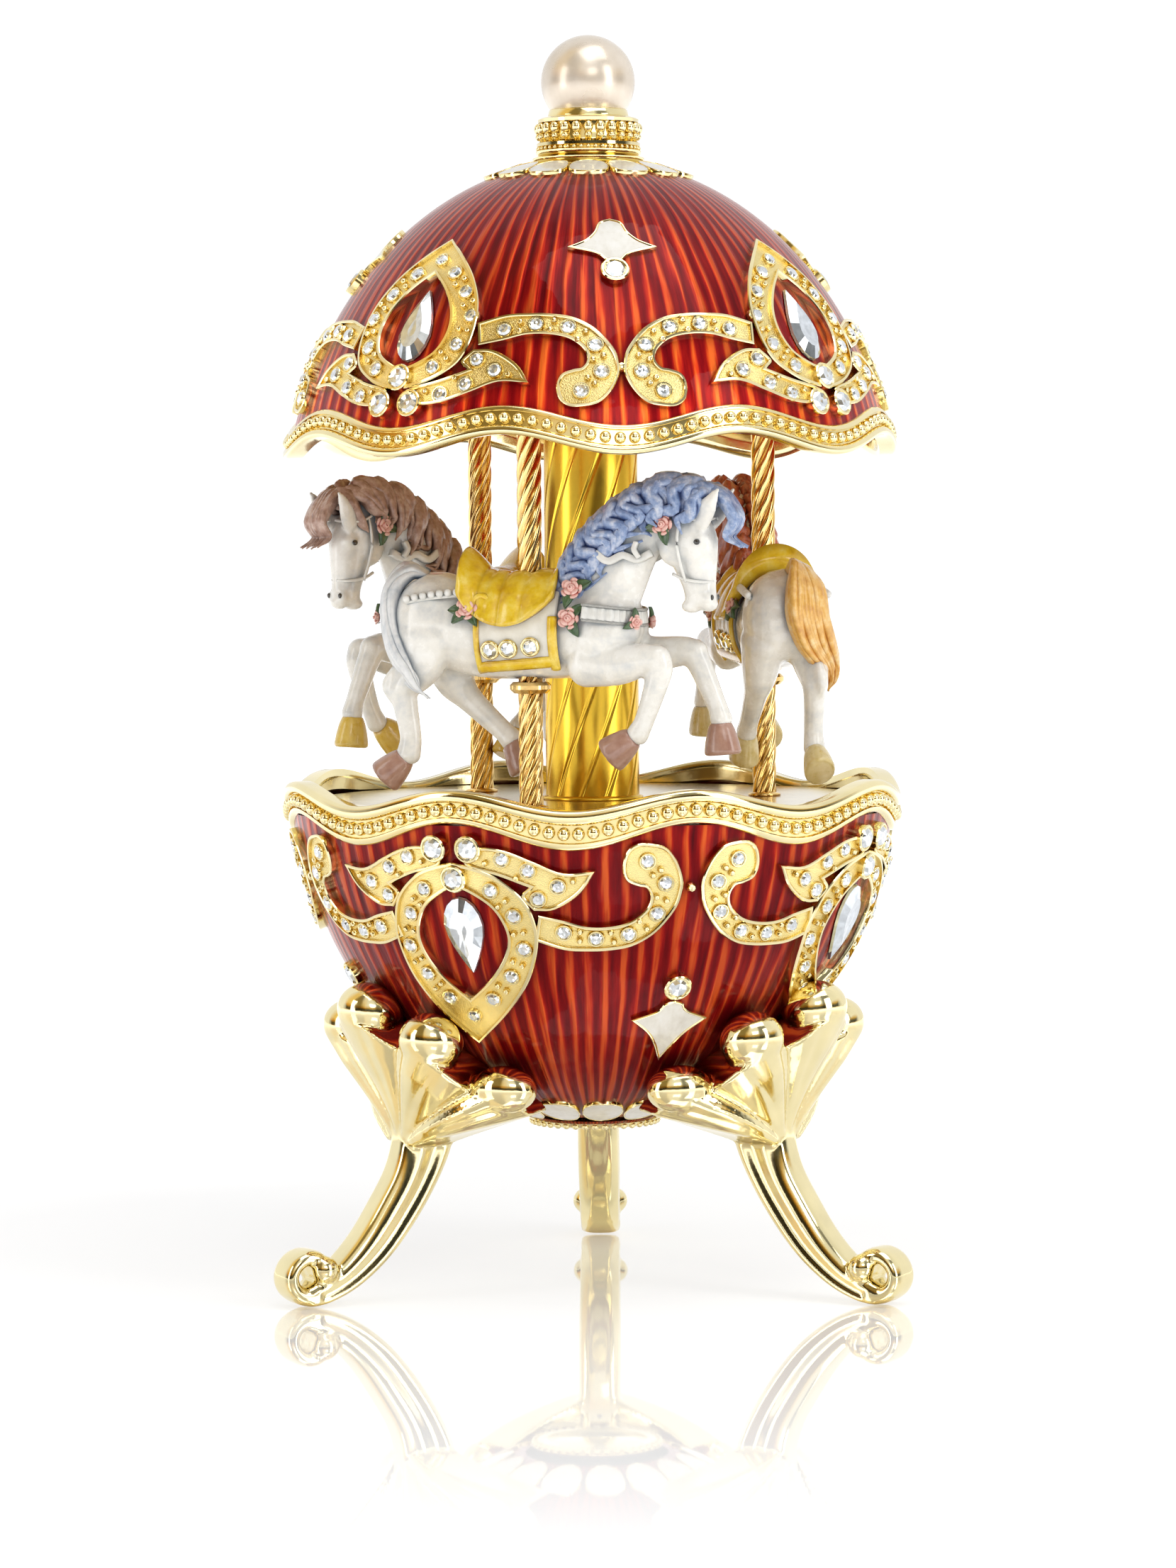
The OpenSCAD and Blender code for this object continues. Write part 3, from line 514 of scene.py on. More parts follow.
# the last colour given to each gold, as recess_shade, is the painted shade in its recesses
GOLD = metal("polished_gold", (0.90, 0.79, 0.46), 0.10, 0.12, 0.10, recess_shade=(0.76, 0.57, 0.18))
GOLD_GRAIN = metal("granular_gold", (0.92, 0.76, 0.34), 0.17, 0.4, 0.18, fine=1.2, recess_shade=(0.58, 0.40, 0.09))
DEEP_GOLD = metal("deep_gold", (0.93, 0.66, 0.27), 0.12, 0.08, 0.12, recess_shade=(0.30, 0.13, 0.02))
COLUMN_GOLD = metal("column_gold", (0.89, 0.58, 0.06), 0.22, 0.0, 0.06, recess_shade=(0.60, 0.34, 0.03))
CHAMPAGNE = metal("champagne_deck", (0.86, 0.78, 0.62), 0.20, 0.25, 0.08, recess_shade=(0.5, 0.36, 0.18))
PEARL = gloss("pearl_lustre", [(0.62, 0.52, 0.40), (0.78, 0.70, 0.60)], 0.27, 0.5, 0.12, 0.03, 0.45)
CRYSTAL = stone_material("cut_glass", (0.80, 0.84, 0.88))
PEAR_GLASS = stone_material("pear_glass", (0.74, 0.79, 0.85))
# the white enamel's recess_shade colour is the painted shade in its recesses
WHITE_ENAMEL = gloss("white_enamel", [(0.64, 0.60, 0.52), (0.72, 0.69, 0.62), (0.76, 0.74, 0.69)], 0.22, 0.4,
                     0.6, 0.15, streak=(1, 1, 0.4), recess_shade=(0.62, 0.47, 0.30), reach=0.7)
CUP_ENAMEL = enamel_material("red_enamel_cup", CUP, 1.0, (0.3, 0.6, 0.4))
DOME_ENAMEL = enamel_material("red_enamel_dome", DOME, 1.05, (1.5, 2.8, 1.5))
BRASS = metal("machined_brass", (0.80, 0.60, 0.28), 0.26, 0.35, 0.14, fine=0.35)
STEEL = metal("bright_steel", (0.62, 0.62, 0.63), 0.22, 0.3, 0.12, fine=0.3)
SPRING_STEEL = metal("blued_spring_steel", (0.36, 0.38, 0.44), 0.28, 0.3, 0.2, fine=0.3)
NYLON = gloss("moulded_nylon", [(0.78, 0.76, 0.70), (0.86, 0.84, 0.79)], 0.45, 0.05, 0.8, 0.2)


# ---------- enamel shells and wavy rims ----------


def shell_skin(shell, z0, z1):
    """The outside and the inside of an egg shell between two heights, as one closed skin."""
    steps, proud, wall = 48, 0.03, 1.15
    z = np.linspace(z0, z1, steps)
    r = shell.radius(z)
    outside = [(a + proud, b) for a, b in zip(r, z)]
    inside = [(max(a - wall, 0.5), b) for a, b in zip(r, z)][::-1]
    skin = Build()
    revolve(skin, outside + inside, 256, closed=True)
    return skin


RIM_BEADS = 136


def rim_band(shell, edge, low, swings, phase, lips, name, body, replaces):
    """A wavy gold band: smooth edge lip, a channel of beads, and a thin inner lip.
    edge and low are the mean heights of the free edge and of the other edge, with their swings."""
    away = 1 if edge > low else -1
    span = abs(edge - low)
    wide, thin = lips
    middle = 0.5 * (wide + 1 - thin)

    def height(share, phi):
        swing = swings[0] * (1 - share) + swings[1] * share
        return edge - away * span * share + swing * np.cos(WAVES * (phi - math.radians(phase)))

    # (how far from the free edge, 0..1; how far out of the shell)
    profile = [(0.00, -1.5), (0.00, 0.15), (0.03, 0.55), (0.10, 0.78), (wide * 0.8, 0.86), (wide, 0.70),
               (wide + 0.03, 0.26), (middle, 0.22), (1 - thin - 0.03, 0.26),
               (1 - thin, 0.62), (1 - thin * 0.4, 0.66), (1.0, 0.44), (1.02, -0.4), (0.86, -1.1),
               (0.55, -1.35), (0.30, -1.55), (0.10, -1.68)]

    def lift(phi, k):
        z = height(profile[k][0], phi)
        return shell.radius(z) + profile[k][1], z

    ring = Build()
    revolve(ring, [(0, 0)] * len(profile), 320, closed=True, lift=lift)
    piece(name, ring, body, GOLD, replaces, sharp=50)
    beads = Build()
    bead_r = 0.5 * span * (1 - wide - thin) * 0.72
    for phi in np.arange(RIM_BEADS) / RIM_BEADS * TAU:
        z = height(middle, phi)
        r = shell.radius(z) + 0.42
        blob(beads, (r * math.sin(phi), -r * math.cos(phi), z), (bead_r, bead_r, bead_r), 8, 12)
    piece(name + "_beads", beads, body, GOLD)


piece("cup_enamel", shell_skin(CUP, CUP_FLOOR_Z, CUP_ENAMEL_TOP_Z), "base", CUP_ENAMEL,
      ["cup_shell"], sharp=40)
piece("dome_enamel", shell_skin(DOME, DOME_ENAMEL_LOW_Z, DOME_TOP_Z), "carousel", DOME_ENAMEL,
      ["dome_shell"], sharp=40)
rim_band(CUP, 64.35, 59.9, (1.2, 1.6), 18.5, (0.34, 0.16), "cup_rim_band", "base", ["cup_rim"])
rim_band(DOME, 107.4, 110.95, (-1.3, -1.25), 6.0, (0.30, 0.15), "dome_rim_band", "carousel", ["dome_rim"])


# ---------- filigree ----------


def signed_area(p):
    q = np.roll(p, -1, axis=0)
    return 0.5 * float(np.sum(p[:, 0] * q[:, 1] - q[:, 0] * p[:, 1]))


def offset(p, distance):
    """Moves a closed outline inwards by distance."""
    if signed_area(p) < 0:
        distance = -distance
    before, after = p - np.roll(p, 1, axis=0), np.roll(p, -1, axis=0) - p
    before /= np.maximum(np.linalg.norm(before, axis=1), 1e-9)[:, None]
    after /= np.maximum(np.linalg.norm(after, axis=1), 1e-9)[:, None]
    na, nb = np.stack([-before[:, 1], before[:, 0]], -1), np.stack([-after[:, 1], after[:, 0]], -1)
    n = na + nb
    size = np.maximum((n * na).sum(axis=1), 0.55)
    return p + n / size[:, None] * distance


def outline(parts, per=6):
    """A closed outline from open runs of points; runs meet at sharp corners."""
    return np.concatenate([spline(run, per)[:-1] for run in parts])


SINK = -0.5  # how deep the ornament's foot goes into the shell


def place_rings(shell, rings, heights, phi0):
    return np.concatenate([shell.place(p, h, phi0) for p, h in zip(rings, heights)])


def refined(points, tris, times=2):
    """Splits each triangle in four, times over, so that a flat sheet can follow the shell."""
    points, tris = np.asarray(points, float), np.asarray(tris)
    for _ in range(times):
        a, b, c = (points[tris[:, k]] for k in range(3))
        corners = np.concatenate([a, b, c, (a + b) / 2, (b + c) / 2, (c + a) / 2])
        points, index = np.unique(corners.round(5), axis=0, return_inverse=True)
        a, b, c, ab, bc, ca = index.reshape(6, -1)
        four = ((a, ab, ca), (ab, b, bc), (ca, bc, c), (ab, bc, ca))
        tris = np.concatenate([np.stack(t, axis=-1) for t in four])
    return points, tris


def plaque(build, fill, shell, edge, phi0, lip, height, floor):
    """A closed outline as a raised lip round a lower floor; the floor goes into fill."""
    ring0, ring1 = edge, offset(edge, 0.10)
    ring2, ring3 = offset(edge, lip - 0.10), offset(edge, lip)
    rings = [ring0, ring0, ring1, ring2, ring3, ring3]
    heights = [SINK, height - 0.12, height, height, height - 0.10, floor - 0.05]
    build.add(place_rings(shell, rings, heights, phi0), grid_faces(len(rings), len(edge), True))
    points, tris = refined(ring3, tessellate_polygon([[Vector((*p, 0)) for p in ring3]]))
    fill.add(shell.place(points, floor, phi0), tris)


def band(build, fill, shell, outer, inner, phi0, lip, height, floor):
    """A closed band between two outlines of equal count, lipped on both sides."""
    n = len(outer)
    across = inner - outer
    width = np.maximum(np.linalg.norm(across, axis=1), 1e-6)[:, None]
    step = across / width
    a = np.minimum(lip, width * 0.4)
    heights = [SINK, height - 0.12, height, height, floor - 0.05]
    for rings, levels in (([outer, outer, outer + step * 0.1, outer + step * a, outer + step * a], heights),
                          ([inner - step * a, inner - step * a, inner - step * 0.1, inner, inner],
                           heights[::-1])):
        build.add(place_rings(shell, rings, levels, phi0), grid_faces(len(rings), n, True))
    rings = [outer + step * a, inner - step * a]
    fill.add(place_rings(shell, rings, [floor, floor], phi0), grid_faces(2, n, True))


def cut_stone(build, shell, u, v, phi0, radius, base):
    """A round brilliant: table with a star of facets, crown and girdle."""
    ax = shell.axes(u, v, phi0)
    centre = shell.place([[u, v]], base, phi0)[0]
    spin = rng.random() * TAU
    rows = [(16, 1.0, 0.0), (16, 0.97, 0.12), (8, 0.66, 0.46), (8, 0.30, 0.40)]
    pts = []
    for n, r, h in rows:
        t = np.arange(n) / n * TAU + spin + (0.5 * TAU / n if n == 8 else 0)
        pts.append(np.stack([r * np.cos(t), r * np.sin(t), np.full(n, h)], axis=-1))
    pts.append(np.array([[0, 0, 0.44]]))
    faces = []
    for k in range(16):
        faces.append((k, (k + 1) % 16, 16 + (k + 1) % 16))
        faces.append((k, 16 + (k + 1) % 16, 16 + k))
    for k in range(8):
        a, b, c = 16 + (2 * k) % 16, 16 + (2 * k + 1) % 16, 16 + (2 * k + 2) % 16
        t0, t1 = 32 + k, 32 + (k + 1) % 8
        faces += [(a, b, t0), (b, c, t0), (c, t1, t0)]
        s0, s1 = 40 + k, 40 + (k + 1) % 8
        faces += [(t0, t1, s0), (t1, s1, s0), (s0, s1, 48)]
    build.add(np.concatenate(pts) * radius @ ax + centre, np.array(faces))


def bezel(build, shell, u, v, phi0, radius, wall, height, low):
    """A small gold collar that holds a stone."""
    rows = [(radius + wall, low), (radius + wall, height - 0.15), (radius + wall * 0.6, height),
            (radius + wall * 0.1, height), (radius - 0.12, height - 0.18), (radius - 0.2, low)]
    turned_ring(build, rows, 20, shell.axes(u, v, phi0), shell.place([[u, v]], 0, phi0)[0])


def small_bead(build, shell, u, v, phi0, radius, base):
    ax = shell.axes(u, v, phi0)
    centre = shell.place([[u, v]], base, phi0)[0]
    blob(build, centre, (radius, radius, radius), 5, 8, ax)


def pear_stone(build, shell, phi0, v0, v1, width, base):
    """A pear-cut stone: round towards the rim, pointed away from it, with long crown facets."""
    n = 20
    length = v1 - v0
    t = np.arange(n) / n * TAU
    y = (1 - np.cos(t)) / 2
    half = 0.5 * width * np.where(y < 0.37, np.sqrt(np.maximum(1 - ((0.37 - y) / 0.37) ** 2, 0)),
                                  np.maximum(1 - (np.maximum(y - 0.37, 0) / 0.63) ** 1.5, 0))
    edge = np.stack([np.where(np.sin(t) >= 0, half, -half), v0 + length * y], -1)
    centre = np.array([0, v0 + 0.40 * length])
    rings = [(1.0, 0.0), (0.97, 0.35), (0.60, 0.95), (0.24, 0.86)]
    pts = []
    for scale, h in rings:
        pts.append(shell.place(centre + (edge - centre) * scale, base + h, phi0))
    pts.append(shell.place([centre], base + 0.90, phi0))
    faces = []
    for row in range(3):
        for k in range(n):
            a, b = row * n + k, row * n + (k + 1) % n
            c, d = a + n, row * n + n + (k + 1) % n
            faces += [(a, b, d), (a, d, c)] if (k + row) % 2 else [(a, b, c), (b, d, c)]
    for k in range(n):
        faces.append((3 * n + k, 3 * n + (k + 1) % n, 4 * n))
    build.add(np.concatenate(pts), np.array(faces))


# One motif, as (u, v) points right of the teardrop's axis; the left is its mirror
CUP_TEAR = {"outer": [(0, 7.4), (2.6, 7.9), (5.5, 9.1), (8.6, 12), (9.7, 15.5), (9.5, 18.6), (7.9, 23.1),
                      (4.6, 28), (0.0, 33)],
            "inner": [(0, 10.7), (1.6, 11.1), (4.5, 13.2), (5.9, 16.3), (5.5, 19.1), (3.4, 22.5),
                      (0.0, 25.9)],
            "tip_stone": 28.6, "pear": (12.0, 22.4, 5.4)}
DOME_TEAR = {"outer": [(0, 6.8), (2.4, 7.1), (5.4, 8.2), (8.0, 10.2), (8.9, 13.4), (8.4, 17.6), (6.3, 21.6),
                       (3.4, 25.0), (0.0, 28.2)],
             "inner": [(0, 9.7), (1.6, 10.0), (4.2, 11.6), (5.2, 14.2), (4.7, 17.0), (2.8, 20.0),
                       (0.0, 22.8)],
             "tip_stone": 24.9, "pear": (10.6, 20.6, 5.0)}
WING = [[(1.6, 6.6), (3.7, 5.5), (6.9, 5.8), (10.4, 7.2), (13.8, 8.6), (17.6, 8.3)],
        [(17.6, 8.3), (15.5, 11.1), (12.2, 13.2), (9.6, 13.4)],
        [(9.6, 13.4), (8.3, 11.6), (9.4, 10.4)],
        [(9.4, 10.4), (5.8, 9.0), (2.0, 7.9), (1.6, 6.6)]]
SCROLL = [[(9.0, 17.4), (12.3, 18.6), (15, 18.8), (17.8, 18.7), (20.7, 18.1), (23.8, 16.3), (26.6, 13.4),
           (27.7, 11.3), (28.1, 9.5), (27.6, 7.2), (26.4, 5.5), (24.7, 5), (23, 5), (21.6, 6), (20.9, 8),
           (21.2, 9.6), (22.5, 10.3), (23.5, 10.6), (23.8, 11.8), (23, 13.3), (21, 14.8), (18.4, 15.5),
           (15.6, 15.5), (13, 14.7), (10.0, 14.0)], [(10.0, 14.0), (9.0, 17.4)]]
TEAR_STONES = [(4.5, 10.9), (7.0, 14.2), (7.8, 18.6), (5.8, 22.5), (3.0, 25.9)]
WING_STONES = [(6.4, 6.9), (9.5, 8.3), (12.9, 10.3), (10.3, 11.9)]
SCROLL_STONES = [(12.7, 16.3), (16.4, 17.1), (20.4, 16.6), (24.3, 13.9), (25.9, 10), (24.0, 7.2)]
LOOSE_GRAINS = [(14.8, 9.6), (8.0, 9.2), (4.3, 7.4)]
CUP_STAR = {"stone": 24.3, "half": [[(0, 26.4), (1.2, 26.9), (2.0, 28.0), (4.9, 29.3)],
                                    [(4.9, 29.3), (2.6, 31.4), (1.2, 33.6), (0, 36.5)]]}
DOME_STAR = {"stone": 22.9, "half": [[(0, 24.3), (0.9, 24.5), (2.2, 25.7), (5.5, 26.7)],
                                     [(5.5, 26.7), (3.3, 27.9), (2.1, 29.3), (1.4, 31.0), (0, 31.7)]]}
LIP, LIP_TOP, FLOOR_AT = 0.42, 1.05, 0.62  # of the gold plaques: lip width, its height, the floor's height
GRAIN_APART = 0.62  # from the line between two stones to the grains beside it


def tear_points(half, n):
    """A whole teardrop outline of n points from its right half."""
    right = resample(spline(half, 8), n // 2 + 1)
    return np.concatenate([right, right[1:-1][::-1] * (-1, 1)])


def filigree(shell, tag, body, phi0, squeeze, lean, tear, star, crystals, stars):
    """The whole gold ornament of one shell, four times round."""
    gold, floor, enamel = Build(), Build(), Build()
    stones, pears = Build(smooth=False), Build(smooth=False)

    def leaning(u, v):
        return u + lean * max(0.0, (v - 12.0) / 17.0) ** 1.5

    def fit(points, side=1):
        return [(side * u, v * squeeze) for u, v in points]

    def set_stone(u, v, phi, radius, wall, top, low, stone_r, base):
        bezel(gold, shell, u, v, phi, radius, wall, top, low)
        cut_stone(stones, shell, u, v, phi, stone_r, base)

    for axis in (phi0 + 90 * quarter for quarter in range(4)):
        outer, inner = tear_points(tear["outer"], 96), tear_points(tear["inner"], 96)
        for ring in (outer, inner):
            ring[:, 0] = [leaning(u, v) for u, v in ring]
        band(gold, floor, shell, outer, inner, axis, LIP, LIP_TOP, FLOOR_AT)
        on_tear, on_scroll = fit(TEAR_STONES), fit(SCROLL_STONES)
        for side in (-1, 1):
            wing = outline([np.array(fit(r, side)) for r in WING], 5)
            plaque(gold, floor, shell, wing, axis, LIP, LIP_TOP - 0.05, FLOOR_AT)
            scroll = outline([np.array(fit(r, side)) for r in SCROLL], 5)
            plaque(gold, floor, shell, scroll, axis, LIP, LIP_TOP - 0.1, FLOOR_AT - 0.05)
            rows = [(leaning(side * u, v), v) for u, v in on_tear]
            for u, v in rows + fit(WING_STONES + SCROLL_STONES, side):
                set_stone(u, v, axis, 0.90, 0.22, FLOOR_AT + 0.34, FLOOR_AT - 0.3, 0.90, FLOOR_AT + 0.12)
            for run in (on_tear, on_scroll):
                for (ua, va), (ub, vb) in zip(run[:-1], run[1:]):
                    um, vm = (ua + ub) / 2, (va + vb) / 2
                    du, dv = ub - ua, vb - va
                    size = math.hypot(du, dv)
                    for w in (-1, 1):
                        v = vm + du / size * GRAIN_APART * w
                        u = side * (um - dv / size * GRAIN_APART * w)
                        u = leaning(u, v) if run is on_tear else u
                        small_bead(gold, shell, u, v, axis, 0.44, FLOOR_AT + 0.2)
            for u, v in fit(LOOSE_GRAINS, side):
                small_bead(gold, shell, u, v, axis, 0.42, FLOOR_AT + 0.2)
            set_stone(side * 2.3, 5.7 * squeeze, axis, 1.40, 0.34, LIP_TOP + 0.25, -0.4, 1.42, LIP_TOP - 0.1)
        set_stone(0, 9.4 * squeeze, axis, 1.40, 0.34, LIP_TOP + 0.3, -0.4, 1.42, LIP_TOP - 0.05)
        tip_v = tear["tip_stone"]
        set_stone(leaning(0, tip_v), tip_v, axis, 0.80, 0.2, FLOOR_AT + 0.34, FLOOR_AT - 0.3, 0.82,
                  FLOOR_AT + 0.12)
        pear_stone(pears, shell, axis, *tear["pear"], 0.15)
        # the star between two scrolls
        curl = axis + 45
        small_bead(gold, shell, 0, 10.7 * squeeze, curl, 0.7, 0.35)
        set_stone(0, star["stone"], curl, 1.42, 0.36, 0.95, -0.4, 1.45, 0.5)
        runs = [np.array(run, float) for run in star["half"]]
        edge = outline(runs + [run[::-1] * (-1, 1) for run in runs[::-1]], 6)
        plaque(gold, enamel, shell, edge, curl, 0.3, 0.62, 0.5)
    piece(tag + "_filigree", gold, body, GOLD, sharp=35)
    piece(tag + "_filigree_floor", floor, body, GOLD_GRAIN)
    piece(tag + "_round_stones", stones, body, CRYSTAL)
    piece(tag + "_pear_stones", pears, body, PEAR_GLASS, [crystals])
    piece(tag + "_star_enamel", enamel, body, WHITE_ENAMEL, [stars])


filigree(CUP, "cup", "base", -26.5, 1.0, -1.6, CUP_TEAR, CUP_STAR, "cup_crystals", "cup_stars")
filigree(DOME, "dome", "carousel", -39.0, 0.88, 0.0, DOME_TEAR, DOME_STAR, "dome_crystals", "dome_stars")


# ---------- petals, bottom ring, finial and pearl ----------


def petals(shell, phi_first, count, v_root, v_tip, half_w, tag, body):
    """A ring of small white petals with gold outlines, their round ends away from the pole."""
    gold, white = Build(), Build()
    for k in range(count):
        phi = phi_first + 360 * k / count
        arc = [(half_w * math.sin(t), v_tip + (v_root - v_tip) * (0.5 - 0.5 * math.cos(t)) ** 1.5)
               for t in np.linspace(0, math.pi, 11)]
        edge = np.array(arc + [(-u, v) for u, v in arc[1:-1][::-1]])
        plaque(gold, white, shell, edge, phi, 0.16, 0.50, 0.44)
    piece(tag + "_petal_rims", gold, body, GOLD, sharp=40)
    piece(tag + "_petals", white, body, WHITE_ENAMEL)


CUP_POLE_V = float(np.interp(-CUP_FLOOR_Z, -CUP.z, CUP.arc))
DOME_POLE_V = float(np.interp(DOME_TOP_Z, DOME.z, DOME.arc))
petals(CUP, 4, 16, CUP_POLE_V - 0.2, CUP_POLE_V - 6.6, 2.62, "cup", "base")
petals(DOME, 0, 14, DOME_POLE_V - 0.1, DOME_POLE_V - 5.3, 2.55, "dome", "carousel")

cap = Build()
revolve(cap, [(0.0, 20.85), (5.2, 20.85), (5.9, 21.1), (6.5, 20.75), (7.4, 20.6), (8.1, 20.8), (8.5, 21.3),
              (8.3, 21.9), (7.9, 22.35)], 96)
bead_ring(cap, 40, 8.05, 21.0, (0.5, 0.5, 0.5), 6, 9)
piece("bottom_ring", cap, "base", GOLD, ["bottom_cap"], sharp=50)

finial = Build()
FINIAL = [(7.9, 143.1), (7.9, 143.4), (6.7, 143.5), (7.1, 143.9), (7.15, 144.3), (6.6, 144.5), (6.4, 144.6),
          (6.7, 144.8), (6.75, 145.2), (6.3, 145.4), (6.25, 145.6), (6.6, 145.8), (6.6, 146.2), (6.25, 146.4),
          (6.1, 146.6), (6.1, 148.7), (6.4, 148.8), (6.45, 149.2), (6.1, 149.4), (5.2, 149.6), (5.0, 150.4),
          (4.6, 150.7), (0.0, 150.5)]
revolve(finial, FINIAL, 128)
bead_ring(finial, 26, 6.35, 148.0, (0.62, 0.62, 0.75), 8, 12)
bead_ring(finial, 26, 6.3, 147.0, (0.5, 0.5, 0.42), 6, 10)
bead_ring(finial, 44, 6.45, 145.5, (0.26, 0.26, 0.26), 6, 10)
piece("finial_cup", finial, "carousel", GOLD, ["finial"], sharp=50)

pearl = Build()
blob(pearl, (0, 0, PEARL_Z), (PEARL_R, PEARL_R, PEARL_R), 48, 96)
piece("pearl_ball", pearl, "carousel", PEARL, ["pearl"])


# ---------- legs ----------


def melt(build, voxel_mm, smooth, name):
    """Fuses overlapping closed parts into one skin, and evens it."""
    ob = bpy.data.objects.new(name, build.mesh(name))
    bpy.context.scene.collection.objects.link(ob)
    remesh = ob.modifiers.new("remesh", "REMESH")
    remesh.mode = "VOXEL"
    remesh.voxel_size = voxel_mm * MM
    remesh.use_smooth_shade = True
    even = ob.modifiers.new("even", "SMOOTH")
    even.factor, even.iterations = 0.6, smooth
    deps = bpy.context.evaluated_depsgraph_get()
    me = bpy.data.meshes.new_from_object(ob.evaluated_get(deps))
    raw = ob.data
    bpy.data.objects.remove(ob)
    bpy.data.meshes.remove(raw)
    me.polygons.foreach_set("use_smooth", np.full(len(me.polygons), True))
    return me


def moved(me, name, matrix):
    """A copy of a mesh, moved by a matrix whose shift is in millimetres."""
    copy = me.copy()
    copy.name = name
    m = Matrix(matrix)
    m.translation = m.translation * MM
    copy.transform(m)
    return copy


def turn_z(degrees):
    return Matrix.Rotation(math.radians(degrees), 4, "Z")


def limb(build, stations, per=5, n=16):
    """A rounded limb along (forward, left, height, thickness, width) stations, with round ends."""
    st = np.array([s if len(s) == 5 else (*s, s[3]) for s in stations], float)
    line = spline(st, per) if len(st) > 2 else resample(st, per * 2)
    path, size = line[:, :3], np.maximum(line[:, 3:], 0.12)
    up = (0, 1, 0)
    sweep(build, path, ring_section(n), up=up, scale=size)
    _, side, rise = frames(path, up)
    for k in (0, -1):
        r = size[k]
        ax = np.stack([side[k], np.cross(side[k], rise[k]), rise[k]])
        blob(build, path[k], (r[0], (r[0] + r[1]) / 2 * 0.9, r[1]), 8, n, ax)


def leg_mesh():
    """One cabriole leg in its own frame: X outwards, Z up."""
    b = Build()
    t = np.arange(48) / 48 * TAU
    deep = np.sign(np.cos(t)) * np.abs(np.cos(t)) ** 0.85
    wide = np.sign(np.sin(t)) * np.abs(np.sin(t)) ** 0.5
    wide = wide * (1 + 0.10 * np.exp(-((deep + 0.75) / 0.2) ** 2) - 0.14 * np.exp(-((deep + 0.2) / 0.3) ** 2))
    section = np.stack([deep, wide], axis=-1)
    # shaft: (out, height, half depth, half width), from inside the leaf to the foot
    shaft = np.array([(24.8, 26.5, 4.0, 3.2), (24.8, 23.5, 4.0, 3.1), (25.3, 19.5, 3.6, 2.9),
                      (27.0, 15.2, 3.1, 2.9), (29.8, 10.8, 2.9, 2.9), (32.8, 7.0, 2.6, 2.85),
                      (36.2, 4.0, 2.2, 2.85), (39.4, 2.2, 1.8, 2.8), (42.0, 1.45, 1.4, 2.75)])
    line = spline(shaft, 8)
    path = np.stack([line[:, 0], np.zeros(len(line)), line[:, 1]], axis=-1)
    sweep(b, path, section, up=(0, 1, 0), scale=line[:, 2:])
    # volute: the shaft's end curls out, up and back in, and swells into a ball
    curl = np.array([(40.6, 1.35), (42.4, 1.5), (43.9, 2.5), (44.3, 4.1), (43.5, 5.6), (42.0, 6.35),
                     (40.7, 6.0), (39.9, 5.0)])
    curl = resample(spline(curl, 8), 44)
    f = np.linspace(0, 1, 44)
    thick = np.interp(f, [0, 0.5, 0.8, 1], [1.25, 0.95, 1.05, 1.35])
    flare = np.interp(f, [0, 0.5, 0.85, 1], [2.75, 2.65, 2.6, 2.5])
    plain = np.stack([np.cos(t), np.sign(np.sin(t)) * np.abs(np.sin(t)) ** 0.5], axis=-1)
    path = np.stack([curl[:, 0], np.zeros(44), curl[:, 1]], axis=-1)
    sweep(b, path, plain, up=(0, 1, 0), scale=np.stack([thick, flare], axis=-1))
    for side in (-1, 1):
        blob(b, (39.9, side * 2.0, 4.8), (1.75, 1.75, 1.75), 16, 24)
    blob(b, (39.9, 0, 4.8), (1.6, 2.6, 1.6), 16, 24)
    # leaf: one fluted fan that spreads from the neck over the cup; its rim dips between five lobes
    fan = np.array([  # place across the fan, turn, rim height, rim radius
        (0.0, 0.0, 35.6, 34.0), (0.12, 6.0, 35.0, 33.8), (0.22, 10.5, 32.4, 31.6),
        (0.30, 14.5, 32.8, 32.2), (0.42, 20.0, 32.6, 32.8), (0.54, 25.0, 30.2, 31.0),
        (0.62, 28.0, 27.2, 27.8), (0.72, 31.5, 26.8, 27.2), (0.82, 35.0, 26.4, 26.6),
        (0.92, 39.0, 25.4, 25.2), (1.0, 42.0, 24.2, 23.4)])
    rows, cols = 30, 141
    outer, inner = np.zeros((rows, cols, 3)), np.zeros((rows, cols, 3))
    for j, g in enumerate(np.linspace(-1, 1, cols)):
        turn, rim_z, rim_r = (np.interp(abs(g), fan[:, 0], fan[:, k]) for k in (1, 2, 3))
        lobe = int(np.searchsorted((0.22, 0.62), abs(g), side="right"))
        mid, half = ((0, 0.22), (0.42, 0.20), (0.81, 0.19))[lobe]
        across = min(abs(abs(g) - mid) / half, 1)
        swell = 2.0 * math.sqrt(max(1 - across ** 2, 0)) - 0.35 * math.exp(-((across - 0.45) / 0.16) ** 2)
        for i, f in enumerate(np.linspace(0, 1, rows)):
            z0 = 20.6 - 1.0 * g * g
            z = z0 + (rim_z - z0) * f
            angle = math.radians(math.copysign(6.4 * abs(g) + (turn - 6.4 * abs(g)) * f ** 1.1, g))
            flare = f ** 1.45
            r = 28.2 + (rim_r - 28.2) * flare + swell * min(1, 0.25 + f)
            floor_r = 21.8 - 4.0 * abs(g) * f
            r_in = min(max(CUP.radius(z) - 0.3, floor_r), r - 1.2)
            outer[i, j] = (r * math.cos(angle), r * math.sin(angle), z)
            inner[i, j] = (r_in * math.cos(angle), r_in * math.sin(angle), z)
    slab(b, outer, inner)
